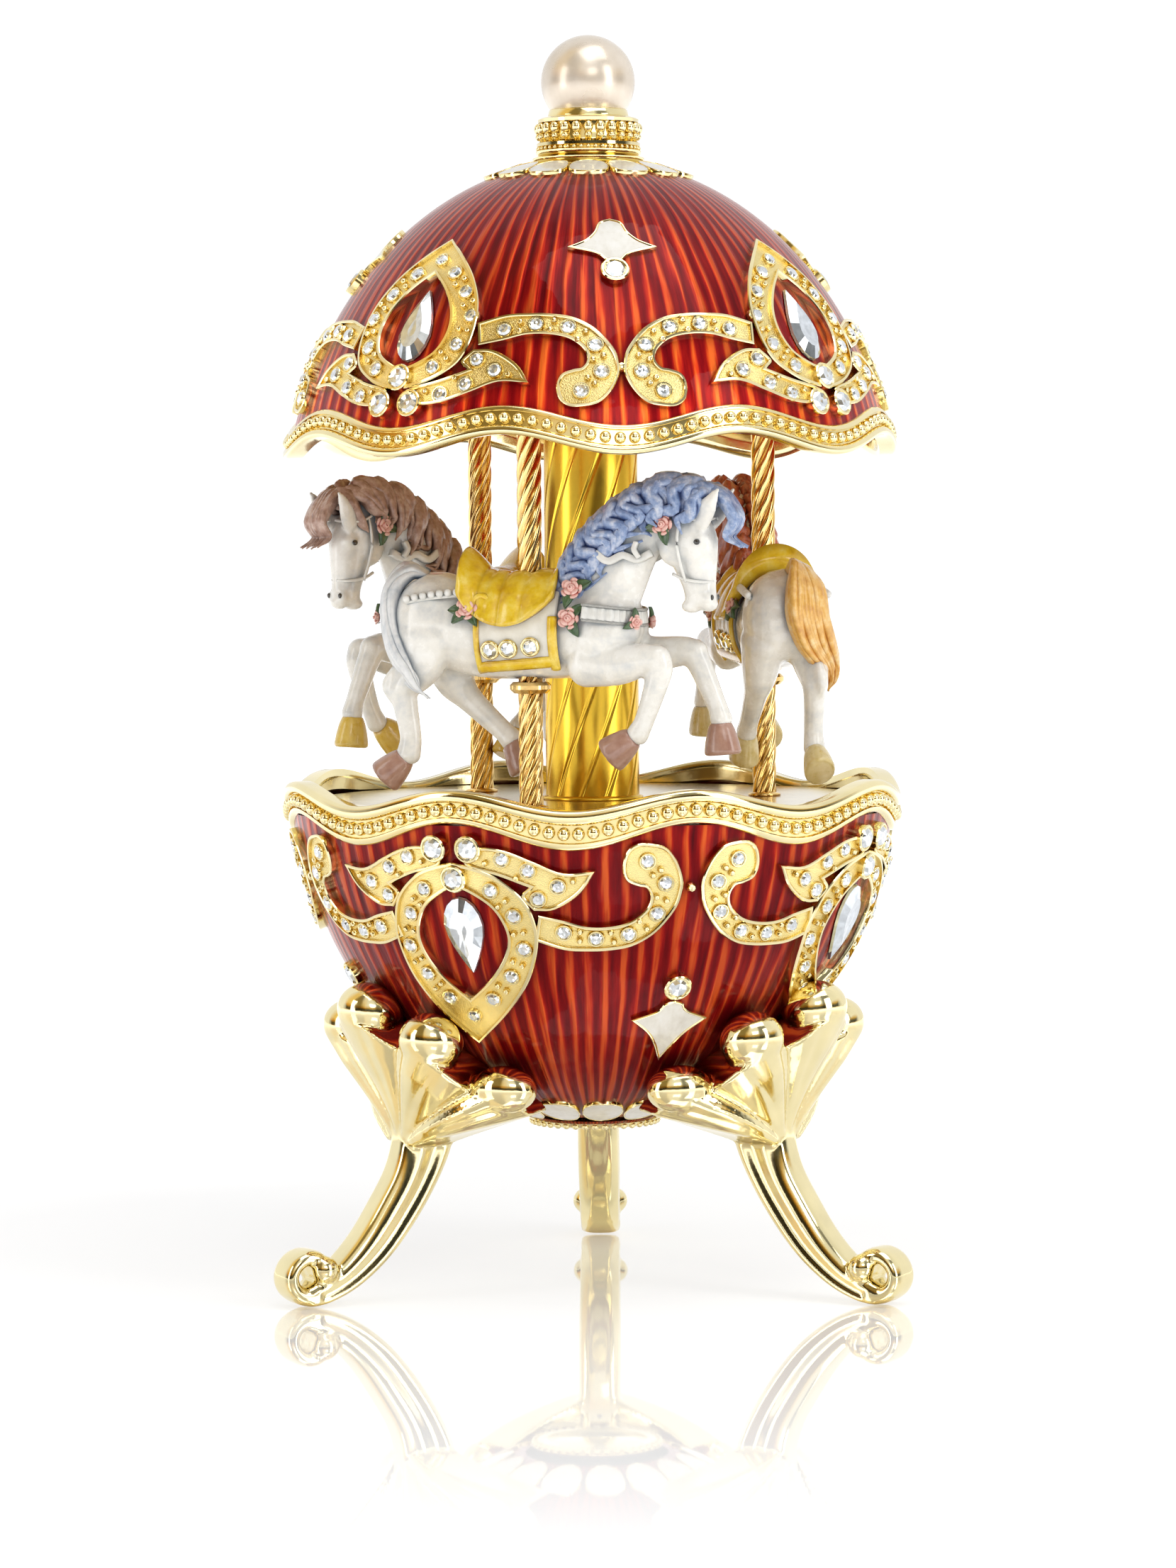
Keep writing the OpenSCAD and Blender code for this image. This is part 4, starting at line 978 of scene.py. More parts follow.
    # bulbs: turn, radius, height and radial, tangential and upright half sizes
    bulbs = [(0, 32.2, 36.7, 4.3, 4.3, 3.6), (20, 31.0, 33.7, 4.2, 4.1, 3.5), (35, 25.8, 27.5, 3.4, 4.3, 3.0)]
    for turn, r, z, radial, tangential, high in bulbs:
        for side in ((-1, 1) if turn else (1,)):
            a = math.radians(side * turn)
            out = np.array([math.cos(a), math.sin(a), 0.0])
            across = np.cross(out, [0, 0, 1.0])
            tilt = Matrix.Rotation(math.radians(18), 3, Vector(across))
            lean = np.array([tilt @ Vector(v) for v in np.stack([out, across, [0, 0, 1.0]])])
            blob(b, r * out + [0, 0, z], (radial, tangential, high), 16, 26, lean)
    return melt(b, 0.28, 4, "leg_melt")


leg_one = leg_mesh()
for key, phi in LEG_PHI.items():
    me = moved(leg_one, "leg_" + key + "_cast", turn_z(phi - 90))
    piece("leg_" + key + "_cast", me, "base", GOLD, ["leg_" + key])


# ---------- column and twisted poles ----------

COLUMN_BANDS, BAND_DEPTH, BAND_TWIST = 11, 0.10, 0.0625  # twist in radians per millimetre


def column_mesh():
    """A smooth column with shallow bands that wind round it."""
    b = Build()
    rows, cols = 260, 360
    z = np.linspace(DECK_Z, CANOPY_Z, rows)[:, None]
    phi = (np.arange(cols) / cols * TAU)[None, :]
    phase = np.mod(COLUMN_BANDS * (phi - BAND_TWIST * (z - DECK_Z)) / TAU, 1.0)
    turned_grid(b, COLUMN_R - BAND_DEPTH * np.exp(-((phase - 0.5) / 0.07) ** 4), phi, z)
    revolve(b, [(COLUMN_R + 0.02, DECK_Z), (COLUMN_R + 0.5, DECK_Z), (COLUMN_R + 0.5, DECK_Z + 0.35),
                (COLUMN_R - 0.1, DECK_Z + 0.6)], 96)
    return b


piece("column_tube", column_mesh(), "carousel", COLUMN_GOLD, ["column"])


def pole_mesh():
    """Six strands twisted like a rope, rising to the right."""
    b = Build()
    rows, cols, strands, pitch, root_r = 320, 96, 6, 16.5, 1.08
    z = np.linspace(DECK_Z, CANOPY_Z, rows)[:, None]
    phi = (np.arange(cols) / cols * TAU)[None, :]
    lobe = np.abs(np.cos(0.5 * strands * (phi - TAU * z / pitch)))
    turned_grid(b, root_r + (POLE_R + 0.05 - root_r) * lobe ** 0.55, phi, z)
    revolve(b, [(0, DECK_Z), (2.1, DECK_Z), (2.1, DECK_Z + 0.3), (1.3, DECK_Z + 0.55)], 40)
    return b.mesh("pole_one")


pole_one = pole_mesh()
POLE_MATRIX = {}
for key, phi in POLE_PHI.items():
    a = math.radians(phi)
    spot = Matrix.Translation((POLE_CIRCLE_R * math.sin(a), -POLE_CIRCLE_R * math.cos(a), 0)) @ turn_z(phi)
    POLE_MATRIX[key] = spot
    me = moved(pole_one, "pole_" + key + "_twisted", spot)
    piece("pole_" + key + "_twisted", me, "carousel", DEEP_GOLD, ["pole_" + key])


# ---------- horses ----------

# A horse's own frame is its pole's: forward is +X, and the far side, towards the axis, is +Y.
BARREL_Z, BARREL_RY, BARREL_RZ = 84.7, 5.0, 6.2


def barrel(u, angle, off):
    """A point on the horse's trunk: angle from straight up towards the near side (-Y)."""
    swell = 1 + 0.07 * math.cos((u + 11) * 0.30) if u < -4 else 1 + 0.02 * math.sin(u * 0.3)
    side, top = BARREL_RY * swell + off, BARREL_RZ * swell + off
    return np.array([u, -side * math.sin(angle), BARREL_Z + top * math.cos(angle)])


def barrel_angle(z, off):
    """The angle at which the trunk, off millimetres larger, passes the height z."""
    return math.acos((z - BARREL_Z) / (BARREL_RZ + off))


def horse_body():
    b = Build()
    limb(b, [(-12.6, 0, 86.2, 5.9, 5.1), (-6.0, 0, 84.6, 5.9, 4.9), (1.0, 0, 84.3, 5.7, 4.8),
             (7.6, 0, 84.8, 5.9, 4.9), (10.2, 0, 86.2, 5.4, 4.7)])
    blob(b, (-12.6, -1.6, 85.6), (5.0, 3.9, 5.8), 12, 20)
    blob(b, (-12.6, 1.6, 85.6), (5.0, 3.9, 5.8), 12, 20)
    for w in (-1, 1):
        blob(b, (9.6, w * 1.7, 83.8), (4.0, 3.6, 5.0), 12, 20)
        blob(b, (11.6, w * 1.5, 85.0), (3.4, 2.9, 3.4), 12, 18)
    # neck and head
    limb(b, [(8.4, 0, 87.6, 5.6, 4.0), (10.6, 0, 91.6, 5.0, 3.3), (13.0, 0, 95.4, 4.3, 2.8),
             (16.0, 0, 98.6, 3.6, 2.5), (19.2, 0, 100.0, 2.9, 2.2)])
    limb(b, [(18.6, 0, 98.6, 3.1, 2.4), (20.9, 0, 96.0, 3.5, 2.5), (21.7, 0, 93.0, 2.9, 2.15),
             (22.2, 0, 90.3, 2.15, 1.75), (22.4, 0, 88.7, 2.0, 1.65)])
    for w in (-1, 1):
        blob(b, (19.6, w * 1.35, 95.0), (2.3, 1.3, 2.6), 10, 16)
        blob(b, (22.9, w * 1.7, 95.8), (1.25, 0.8, 0.9), 10, 14)
        blob(b, (23.6, w * 1.1, 88.6), (0.75, 0.62, 0.8), 8, 12)
        limb(b, [(23.0, w * 1.9, 98.0, 1.3, 0.9), (24.2, w * 2.7, 99.8, 1.25, 0.6),
                 (25.6, w * 3.0, 101.9, 0.3, 0.25)], 5, 12)
    blob(b, (21.2, 0, 87.6), (1.3, 1.3, 0.85), 8, 14)
    blob(b, (23.4, 0, 87.9), (1.2, 1.35, 1.0), 8, 14)
    # near fore, far fore, near hind, far hind: thigh to fetlock
    limb(b, [(8.4, -2.6, 80.9, 3.3, 2.4), (12.6, -3.0, 80.5, 2.6, 2.1), (16.6, -3.1, 81.2, 1.95, 1.8),
             (18.0, -3.1, 80.2, 1.75, 1.6), (17.3, -3.1, 77.2, 1.45, 1.35), (16.0, -3.1, 73.6, 1.25, 1.2),
             (15.1, -3.1, 71.9, 1.45, 1.35)])
    limb(b, [(9.8, 2.7, 81.4, 3.1, 2.4), (15.0, 3.0, 81.6, 2.3, 2.0), (19.6, 3.1, 82.0, 1.8, 1.7),
             (20.9, 3.1, 80.8, 1.6, 1.5), (22.2, 3.1, 78.0, 1.4, 1.3), (23.4, 3.1, 75.2, 1.25, 1.2),
             (23.9, 3.1, 73.6, 1.45, 1.35)])
    limb(b, [(-12.6, -2.6, 84.0, 4.6, 3.0), (-13.6, -3.1, 80.2, 3.0, 2.3), (-15.6, -3.2, 77.4, 1.95, 1.7),
             (-15.4, -3.2, 75.0, 1.6, 1.4), (-14.8, -3.2, 71.4, 1.4, 1.25), (-15.1, -3.2, 69.2, 1.6, 1.4)])
    limb(b, [(-12.0, 2.6, 82.6, 4.4, 3.0), (-11.2, 3.0, 78.4, 2.8, 2.2), (-9.6, 3.1, 76.2, 1.8, 1.6),
             (-7.2, 3.1, 74.0, 1.5, 1.35), (-4.8, 3.1, 71.9, 1.35, 1.25), (-3.8, 3.1, 70.9, 1.5, 1.4)])
    for at, size in (((17.6, -3.1, 81.2), 2.05), ((20.5, 3.1, 81.8), 1.9), ((-15.7, -3.2, 77.3), 2.0),
                     ((-9.8, 3.1, 76.3), 1.85)):
        blob(b, at, (size * 0.92, size * 0.86, size * 0.92), 10, 16)
    # a fringe behind the near hock
    fringe = [(-16.6, -3.4, 79.6, 0.8, 0.8), (-17.6, -3.6, 77.8, 0.9, 0.8), (-17.0, -3.6, 76.0, 0.5, 0.5)]
    limb(b, fringe, 4, 10)
    return melt(b, 0.30, 3, "horse_melt")


def hoof_mesh():
    """Four hooves, each a flared shoe-like block with a heel."""
    b = Build()
    hooves = [((14.6, -3.1, 71.6), (-0.80, 0, -0.60)), ((23.8, 3.1, 73.2), (0.08, 0, -1.0)),
              ((-15.5, -3.2, 68.9), (-0.74, 0, -0.68)), ((-3.5, 3.1, 70.6), (0.46, 0, -0.89))]
    for at, way in hooves:
        at, way = np.array(at), np.array(way) / np.linalg.norm(way)
        path = np.array([at + way * s for s in (0.0, 0.9, 2.2, 3.6, 4.0)])
        size = np.array([(1.35, 1.3), (1.75, 1.6), (2.1, 1.85), (2.35, 2.0), (2.2, 1.85)])
        sweep(b, path, ring_section(22), up=(0, 1, 0), scale=size)
        heel = at + way * 0.8 - np.array([0.6, 0, 0.4])
        blob(b, heel, (1.1, 1.2, 0.9), 8, 14)
    return melt(b, 0.25, 2, "hoof_melt")


def lock(build, points, thick, strands=3, n=15):
    """A lock of hair: a tapering sweep whose section has soft strands, with a slow twist."""
    path = spline(points, 5)
    m = len(path)
    t = np.arange(n) / n * TAU
    r = 1 + 0.20 * np.cos(strands * t)
    section = np.stack([r * np.cos(t), r * np.sin(t)], axis=-1)
    f = np.linspace(0, 1, m)
    size = thick * np.clip(1.15 * (1 - f**2.2), 0.12, 1) * (0.6 + 0.4 * np.minimum(f * 5, 1))
    sweep(build, path, section, up=(0.1, 1, 0.25), scale=size, turn=f * 2.2)


def mane_mesh():
    """Curly mane from the forelock, over the crest, to the withers."""
    r = random.Random(11)
    b = Build()
    crest = spline([(24.0, 0, 100.6), (20.4, 0, 102.0), (15.6, 0, 101.2), (11.0, 0, 98.2), (7.2, 0, 94.4),
                    (5.2, 0, 90.6)], 12)
    crest = resample(crest, 14)
    tan = np.gradient(crest, axis=0)
    tan /= np.linalg.norm(tan, axis=1)[:, None]
    for k, p in enumerate(crest):
        out = np.array([-tan[k][2], 0, tan[k][0]])
        out = out if out[2] > 0 else -out
        for side in (-1, 1):
            for layer in (0, 1):
                back = tan[k] * (0.3 + 1.9 * r.random())
                long = 2.8 + 1.8 * r.random() + layer * 0.6
                y = side * (0.6 + 0.9 * layer)
                bend = side * (0.5 + 0.3 * r.random())
                q = p + np.array([0, y * 0.6, 0]) - out * 0.6 + tan[k] * (0.6 * layer)
                spread = 2.3 + 0.8 * r.random()
                # how far out of the crest, to the side and back each point of the lock is
                curl = [(0, 0, 0), (1.3, 0.7, 0.5), (0.7 - 0.8 * layer, 1.6, 1.5),
                        (-0.9 - layer, 1.9 + 0.3 * layer, 1.2 + bend), (-long * 0.72, 2.3, 2.3),
                        (-long, spread, 3.2 * r.random() - 0.2)]
                pts = [q + out * a + np.array([0, side * c, 0]) + back * d for a, c, d in curl]
                lock(b, pts, 0.95 + 0.3 * r.random())
    # forelock: curls that fall forward of the ears
    for k in range(9):
        y = (k - 4) * 0.42
        s = 0.8 + 0.5 * r.random()
        pts = [(22.2, y * 0.5, 100.2), (23.9, y * 0.6, 101.0 + 0.5 * s), (25.6, y * 0.7, 100.0 + 0.6 * s),
               (26.2 + 0.8 * s, y * 0.8, 98.2), (25.0 + s, y * 0.9, 96.7 - 0.5 * s),
               (26.6 + 1.3 * s, y * (0.9 + 0.6 * r.random()), 96.0 - s)]
        lock(b, pts, 0.85)
    return b.mesh("mane_one")


def tail_mesh():
    """A long tail that leaves the croup, bends back and hugs the near thigh."""
    r = random.Random(5)
    b = Build()
    count = 17
    for k in range(count):
        g = k / (count - 1)
        j = 0.5 * (r.random() - 0.5)
        end = r.random()
        proud = 0.55 * (k % 2)
        pts = [(-13.4, -0.3 - 0.3 * g, 91.4),
               (-16.5 + 1.2 * g, -0.4 - 1.2 * g, 92.0 - 0.4 * g + proud),
               (-18.3 + 1.5 * g - proud, 0.2 - 3.4 * g + j, 89.6),
               (-18.8 + 2.0 * g - proud, 0.4 - 4.4 * g, 86.0 + j),
               (-17.8 + 2.3 * g - proud, -0.8 - 4.4 * g - j, 82.6),
               (-16.3 + 2.3 * g, -2.8 - 3.2 * g - proud, 80.2 - j),
               (-14.1 + 1.4 * g, -4.4 - 1.7 * g - proud, 78.9 - 1.2 * end),
               (-12.9 + 1.6 * end, -5.0 - 0.9 * g, 77.4 - 1.2 * end)]
        lock(b, pts, 0.84)
    return b.mesh("tail_one")


def draped(u0, u1, low, off, rows, cols, lift):
    """A sheet over the trunk from u0 to u1, whose edges hang to the height low(f)."""
    outer, inner = np.zeros((rows, cols, 3)), np.zeros((rows, cols, 3))
    for i in range(rows):
        f = i / (rows - 1)
        u = u0 + (u1 - u0) * f
        a = barrel_angle(low(f), off)
        for j in range(cols):
            g = 2 * j / (cols - 1) - 1
            outer[i, j] = barrel(u, a * g, off + lift(f, g))
            inner[i, j] = barrel(u, a * g, off - 0.55)
    return outer, inner


def saddle_mesh():
    b = Build()

    def low(f):
        return 88.9 - 3.7 * math.sin(math.pi * f) ** 0.8 if 0 < f < 1 else 88.9

    def lift(f, g):
        top = 1 - g * g
        cantle = 2.7 * max(0, 1 - f / 0.30) ** 1.4 * top
        pommel = 0.9 * max(0, (f - 0.85) / 0.15) ** 1.5 * top
        folds = 0.62 * abs(math.sin(f * math.pi * 4.2 + 0.4)) ** 0.35
        rim = 0.35 * max(0, (abs(g) - 0.86) / 0.14)
        return cantle + pommel + folds + rim

    slab(b, *draped(-7.9, 4.9, low, 0.75, 44, 41, lift))
    # scroll at the foot of the cantle
    for side in (-1, 1):
        a = np.linspace(0, 2.52 * math.pi, 26)
        r = 1.25 * (1 - a / a[-1] * 0.8)
        pts = [barrel(-4.4, side * 1.0, 1.1) + np.array([-ri * math.cos(ai), 0, ri * math.sin(ai) - 0.6])
               for ai, ri in zip(a, r)]
        tube(b, np.array(pts), np.linspace(0.42, 0.2, 26), 8, up=(0, 1, 0))
    return b.mesh("saddle_one")


def border_strip(build, side, rows, cols, at, puff):
    """A padded strip on the blanket; at(f, g) gives its place along the horse and its height."""
    outer, inner = np.zeros((rows, cols, 3)), np.zeros((rows, cols, 3))
    for i, f in enumerate(np.linspace(0, 1, rows)):
        for j, g in enumerate(np.linspace(0, 1, cols)):
            u, z = at(f, g)
            a = barrel_angle(z, 0.5) * side
            outer[i, j] = barrel(u, a, 0.62 + puff * math.sin(math.pi * g))
            inner[i, j] = barrel(u, a, 0.2)
    slab(build, outer, inner)


def blanket_meshes():
    """The cream cloth under the saddle and its yellow border."""
    cream, border = Build(), Build()
    slab(cream, *draped(-5.3, 5.3, lambda f: 79.5 + 1.1 * f, 0.42, 26, 61,
                        lambda f, g: 0.05 * math.sin(f * 30)))
    for side in (-1, 1):
        border_strip(border, side, 20, 5, lambda f, g: (-5.4 + 10.8 * f, 79.3 + 1.1 * f + 1.3 * g), 0.22)
        for edge, wide in ((5.5, -1.2), (-5.5, 0.7)):
            border_strip(border, side, 18, 4, lambda f, g: (edge + wide * g, 80.0 + 6.4 * f), 0.18)
    return cream.mesh("blanket_one"), border.mesh("border_one")


def facing(normal, up=(0, 0, 1)):
    """Three directions for a stone or flower: two in its face, and its outward normal."""
    n = np.asarray(normal, float)
    n = n / np.linalg.norm(n)
    a = np.cross(up, n)
    a /= np.linalg.norm(a)
    return np.stack([a, np.cross(n, a), n])


def rose(build, at, normal, size):
    """A moulded rose: two rings of cupped petals round a rolled heart."""
    ax = facing(normal)
    at = np.asarray(at, float)
    for ring, count, tilt in ((0.62, 5, 0.30), (0.34, 4, 0.52)):
        for k in range(count):
            a = TAU * (k + 0.5 * (ring < 0.5)) / count
            off = np.array([math.cos(a) * ring, math.sin(a) * ring, tilt * 0.55]) * size
            radial = math.cos(a) * ax[0] + math.sin(a) * ax[1]
            tang = np.cross(ax[2], radial)
            tip = radial * 0.75 + ax[2] * 0.66
            axes = np.stack([tip / np.linalg.norm(tip), tang, np.cross(tip / np.linalg.norm(tip), tang)])
            blob(build, at + off @ ax, (0.46 * size, 0.44 * size, 0.17 * size), 6, 10, axes)
    a = np.linspace(0, 2.6 * math.pi, 22)
    r = np.linspace(0.26, 0.06, 22) * size
    spiral = at + np.stack([r * np.cos(a), r * np.sin(a), np.linspace(0.55, 0.72, 22) * size], -1) @ ax
    tube(build, spiral, 0.10 * size, 6, up=ax[2])
    blob(build, at + ax[2] * 0.3 * size, (0.4 * size, 0.4 * size, 0.35 * size), 6, 10, ax)


def leaf(build, at, normal, turn, size):
    """A small pointed leaf with a folded midrib."""
    ax = facing(normal)
    c, s = math.cos(turn), math.sin(turn)
    along, across = c * ax[0] + s * ax[1], -s * ax[0] + c * ax[1]
    n = 9
    f = np.linspace(0, 1, n)
    half = 0.30 * size * np.sin(math.pi * f ** 0.8) ** 0.8
    outer = np.zeros((n, 5, 3))
    for i in range(n):
        for j, g in enumerate((-1, -0.5, 0, 0.5, 1)):
            rise = 0.30 + 0.12 * abs(g) + 0.25 * math.sin(math.pi * f[i])
            outer[i, j] = (np.asarray(at) + along * (f[i] - 0.1) * size * 1.25 + across * half[i] * g
                           + ax[2] * rise * size * 0.5)
    slab(build, outer, outer - ax[2] * 0.22 * size)


def strap(build, path, normals, width, thick, ribs=0.0):
    """A flat strap along a path; normals point off the horse."""
    path, normals = np.asarray(path, float), np.asarray(normals, float)
    t = np.gradient(path, axis=0)
    t /= np.linalg.norm(t, axis=1)[:, None]
    nn = normals / np.linalg.norm(normals, axis=1)[:, None]
    across = np.cross(t, nn)
    m = len(path)
    rib = 0.5 * thick * (np.sin(np.arange(m) * 2.1)[:, None] if ribs else np.zeros((m, 1)))
    outer = np.zeros((m, 5, 3))
    for j, g in enumerate((-1, -0.8, 0, 0.8, 1)):
        edge = 0.75 if abs(g) == 1 else 1.0
        outer[:, j] = path + across * (g * width / 2) + nn * ((thick + (rib if abs(g) < 1 else 0)) * edge)
    inner = outer - nn[:, None, :] * (thick + 0.5)
    slab(build, outer, inner)


def tack_mesh():
    """White harness: ribbed breast strap, croup strap, neck bow and bridle."""
    b = Build()
    pts, nrm = [], []
    for a in np.linspace(-1.35, 1.35, 60):
        u = 6.0 + 8.7 * math.cos(a) ** 0.75
        y = 5.8 * math.sin(a)
        pts.append((u, y, 86.2 + 1.0 * (1 - math.cos(a))))
        nrm.append((math.cos(a) * 0.9 + 0.15, math.sin(a), 0.1))
    strap(b, pts, nrm, 1.7, 0.35, 1)
    for side in (-1, 1):
        for z in (0.95, -0.95):
            line = np.array(pts) + np.array([0, 0, z])
            tube(b, line + np.array(nrm) * 0.3, 0.20, 6)
        croup = [barrel(u, side * (1.05 - 0.02 * (u + 15)), 0.55) for u in np.linspace(-14.6, -5.8, 20)]
        tube(b, np.array(croup), 0.28, 6)
        # browband, cheek strap and noseband
        for line in ([(19.2, 2.4, 99.4), (21.3, 2.75, 98.4), (23.6, 2.2, 98.2), (24.4, 0.6, 98.4)],
                     [(20.6, 2.7, 98.6), (20.3, 3.0, 95.6), (20.6, 2.7, 93.0), (21.2, 2.3, 90.6)],
                     [(19.4, 1.9, 91.6), (21.2, 2.3, 90.9), (23.2, 1.7, 90.6), (24.1, 0.4, 90.7)]):
            path = spline([(u, side * y, z) for u, y, z in line], 5)
            tube(b, path, 0.20, 8)
        # a loose ribbon on the neck
        path = spline([(10.0, side * 3.6, 94.2), (11.6, side * 3.6, 93.2), (13.4, side * 3.3, 93.9),
                       (15.2, side * 3.1, 93.4), (16.9, side * 2.6, 94.2)], 6)
        strap(b, path, np.tile([0, side, 0.1], (len(path), 1)), 0.9, 0.35)
        path = spline([(15.2, side * 3.3, 95.6), (15.0, side * 3.6, 94.6), (15.6, side * 3.5, 93.6)], 6)
        strap(b, path, np.tile([0, side, 0.1], (len(path), 1)), 0.6, 0.35)
    return b.mesh("tack_one")


def trims():
    """Roses, leaves, pearl beads, stones, bezels and eyes, as separate meshes."""
    roses, leaves, beads, rims, eyes = (Build() for _ in range(5))
    stones = Build(smooth=False)
    for side in (-1, 1):
        # place, facing, size, the leaves' turns and size
        spots = [((18.6, side * 2.75, 97.6), (-0.1, side, 0.1), 1.45, (1.7, 3.4, 4.9), 2.3),
                 ((7.2, side * 4.3, 89.7), (0.1, side, 0.35), 1.45, (0.4, 4.4), 2.3),
                 ((7.0, side * 5.05, 86.2), (0.1, side, 0.05), 1.45, (0.8, 5.2), 2.3),
                 ((-6.3, side * 5.0, 87.2), (0, side, 0.35), 1.55, (3.9, 5.3, 3.2), 2.3),
                 ((14.6, side * 2.9, 85.7), (0.8, side * 0.6, 0), 1.0, (1.5, 3.6), 1.6)]
        for at, nrm, size, turns, leaf_size in spots:
            rose(roses, np.array(at) + np.array(nrm) * 0.15, nrm, size)
            for turn in turns:
                leaf(leaves, at, nrm, turn if side < 0 else math.pi - turn, leaf_size)
        for u in np.linspace(-14.4, -7.9, 7):
            blob(beads, barrel(u, side * (1.02 - 0.02 * (u + 15)), 0.95), (0.52, 0.52, 0.52), 7, 10)
        for u, z in ((-3.4, 82.2), (-1.0, 82.4), (2.0, 82.7)):
            a = barrel_angle(z, 0.7) * side
            at = barrel(u, a, 0.72)
            ax = facing((0, -math.sin(a), 0.85 * math.cos(a)))
            stone_at(stones, at, ax, 0.95)
            collar_at(rims, at, ax, 0.95)
        blob(eyes, (22.7, side * 2.52, 95.5), (0.42, 0.2, 0.36), 8, 12)
        blob(eyes, (24.2, side * 1.15, 88.7), (0.25, 0.28, 0.35), 6, 10)
    return {"roses": roses, "leaves": leaves, "beads": beads, "stones": stones, "rims": rims, "eyes": eyes}


def stone_at(build, at, ax, radius):
    """A small brilliant given by its centre and directions."""
    rows = [(12, 1.0, 0.0), (12, 0.95, 0.15), (6, 0.55, 0.5)]
    pts = []
    for n, r, h in rows:
        t = np.arange(n) / n * TAU + (0.26 if n == 6 else 0)
        pts.append(np.stack([r * np.cos(t), r * np.sin(t), np.full(n, h)], axis=-1))
    pts.append(np.array([[0, 0, 0.44]]))
    faces = []
    for k in range(12):
        faces += [(k, (k + 1) % 12, 12 + (k + 1) % 12), (k, 12 + (k + 1) % 12, 12 + k)]
    for k in range(6):
        a, b2, c = 12 + 2 * k, 12 + 2 * k + 1, 12 + (2 * k + 2) % 12
        t0, t1 = 24 + k, 24 + (k + 1) % 6
        faces += [(a, b2, t0), (b2, c, t0), (c, t1, t0), (t0, t1, 30)]
    build.add(np.concatenate(pts) * radius @ ax + at, np.array(faces))


def collar_at(build, at, ax, radius):
    """The gold collar of a small brilliant."""
    rows = [(radius + 0.3, -0.3), (radius + 0.26, 0.18), (radius + 0.05, 0.24), (radius - 0.06, 0.1),
            (radius - 0.06, -0.3)]
    turned_ring(build, rows, 18, ax, at)


# the recess_shade colour of each paint below is the painted shade in its recesses
HORSE_WHITE = gloss("horse_enamel_white", [(0.66, 0.66, 0.64), (0.85, 0.82, 0.75), (0.92, 0.90, 0.85)],
                    0.26, 0.6, 0.35, 0.30, recess_shade=(0.26, 0.31, 0.36), reach=1.5)
SADDLE_YELLOW = gloss("saddle_yellow", [(0.66, 0.38, 0.01), (0.84, 0.56, 0.02), (0.92, 0.70, 0.12)],
                      0.25, 0.7, 0.5, 0.3, recess_shade=(0.35, 0.15, 0.01), reach=0.9)
BLANKET_CREAM = gloss("blanket_cream", [(0.74, 0.70, 0.60), (0.84, 0.81, 0.73)], 0.32, 0.5, 0.6, 0.25,
                      recess_shade=(0.36, 0.36, 0.33))
ROSE_PINK = gloss("rose_pink", [(0.78, 0.42, 0.36), (0.88, 0.62, 0.54)], 0.32, 0.5, 1.2, 0.2,
                  recess_shade=(0.60, 0.15, 0.12), reach=0.6)
LEAF_GREEN = gloss("leaf_green", [(0.02, 0.06, 0.02), (0.07, 0.14, 0.05)], 0.35, 0.5, 1.5, 0.3)
EYE_BLACK = gloss("eye_black", [(0.01, 0.01, 0.01), (0.03, 0.025, 0.02)], 0.15, 1.0, 1.0, 0.05)
TACK_WHITE = gloss("harness_white", [(0.72, 0.71, 0.66), (0.85, 0.83, 0.78)], 0.30, 0.6, 0.8, 0.2,
                   recess_shade=(0.30, 0.32, 0.32), reach=0.7)
HAIR = {  # mane, then tail: name, three tones, the painted shade colour in the recesses
    "front": [("mane_blue", [(0.11, 0.18, 0.36), (0.26, 0.35, 0.56), (0.62, 0.66, 0.76)], (0.03, 0.06, 0.20)),
              ("tail_white", [(0.52, 0.55, 0.58), (0.74, 0.74, 0.73), (0.86, 0.85, 0.83)],
               (0.20, 0.25, 0.32))],
    "right": [("mane_russet", [(0.30, 0.05, 0.02), (0.52, 0.12, 0.05), (0.62, 0.22, 0.10)],
               (0.14, 0.02, 0.01)),
              ("tail_ochre", [(0.62, 0.28, 0.05), (0.80, 0.45, 0.10), (0.90, 0.66, 0.32)],
               (0.48, 0.16, 0.02))],
    "rear": [("mane_brown", [(0.26, 0.14, 0.10), (0.45, 0.28, 0.22), (0.62, 0.46, 0.38)], (0.12, 0.06, 0.04)),
             ("tail_grey", [(0.30, 0.26, 0.24), (0.52, 0.46, 0.42), (0.70, 0.65, 0.60)],
              (0.16, 0.12, 0.10))]}
MANE_ROUGH = {"front": 0.32, "right": 0.34, "rear": 0.36}
TAIL_FINISH = {"front": (0.3, 0.55), "right": (0.3, 0.5), "rear": (0.34, 0.5)}  # roughness, clear coat
# name, tones, roughness, and the painted shade colour in the recesses
HOOF_PAINT = {"front": ("hoof_rose", [(0.34, 0.17, 0.12), (0.47, 0.28, 0.21)], 0.30, (0.25, 0.10, 0.07)),
              "right": ("hoof_gold", [(0.62, 0.46, 0.14), (0.80, 0.66, 0.34)], 0.28, (0.40, 0.22, 0.04)),
              "rear": ("hoof_yellow", [(0.70, 0.44, 0.05), (0.82, 0.60, 0.15)], 0.28, (0.45, 0.22, 0.02))}
MANES, TAILS, HOOVES = {}, {}, {}
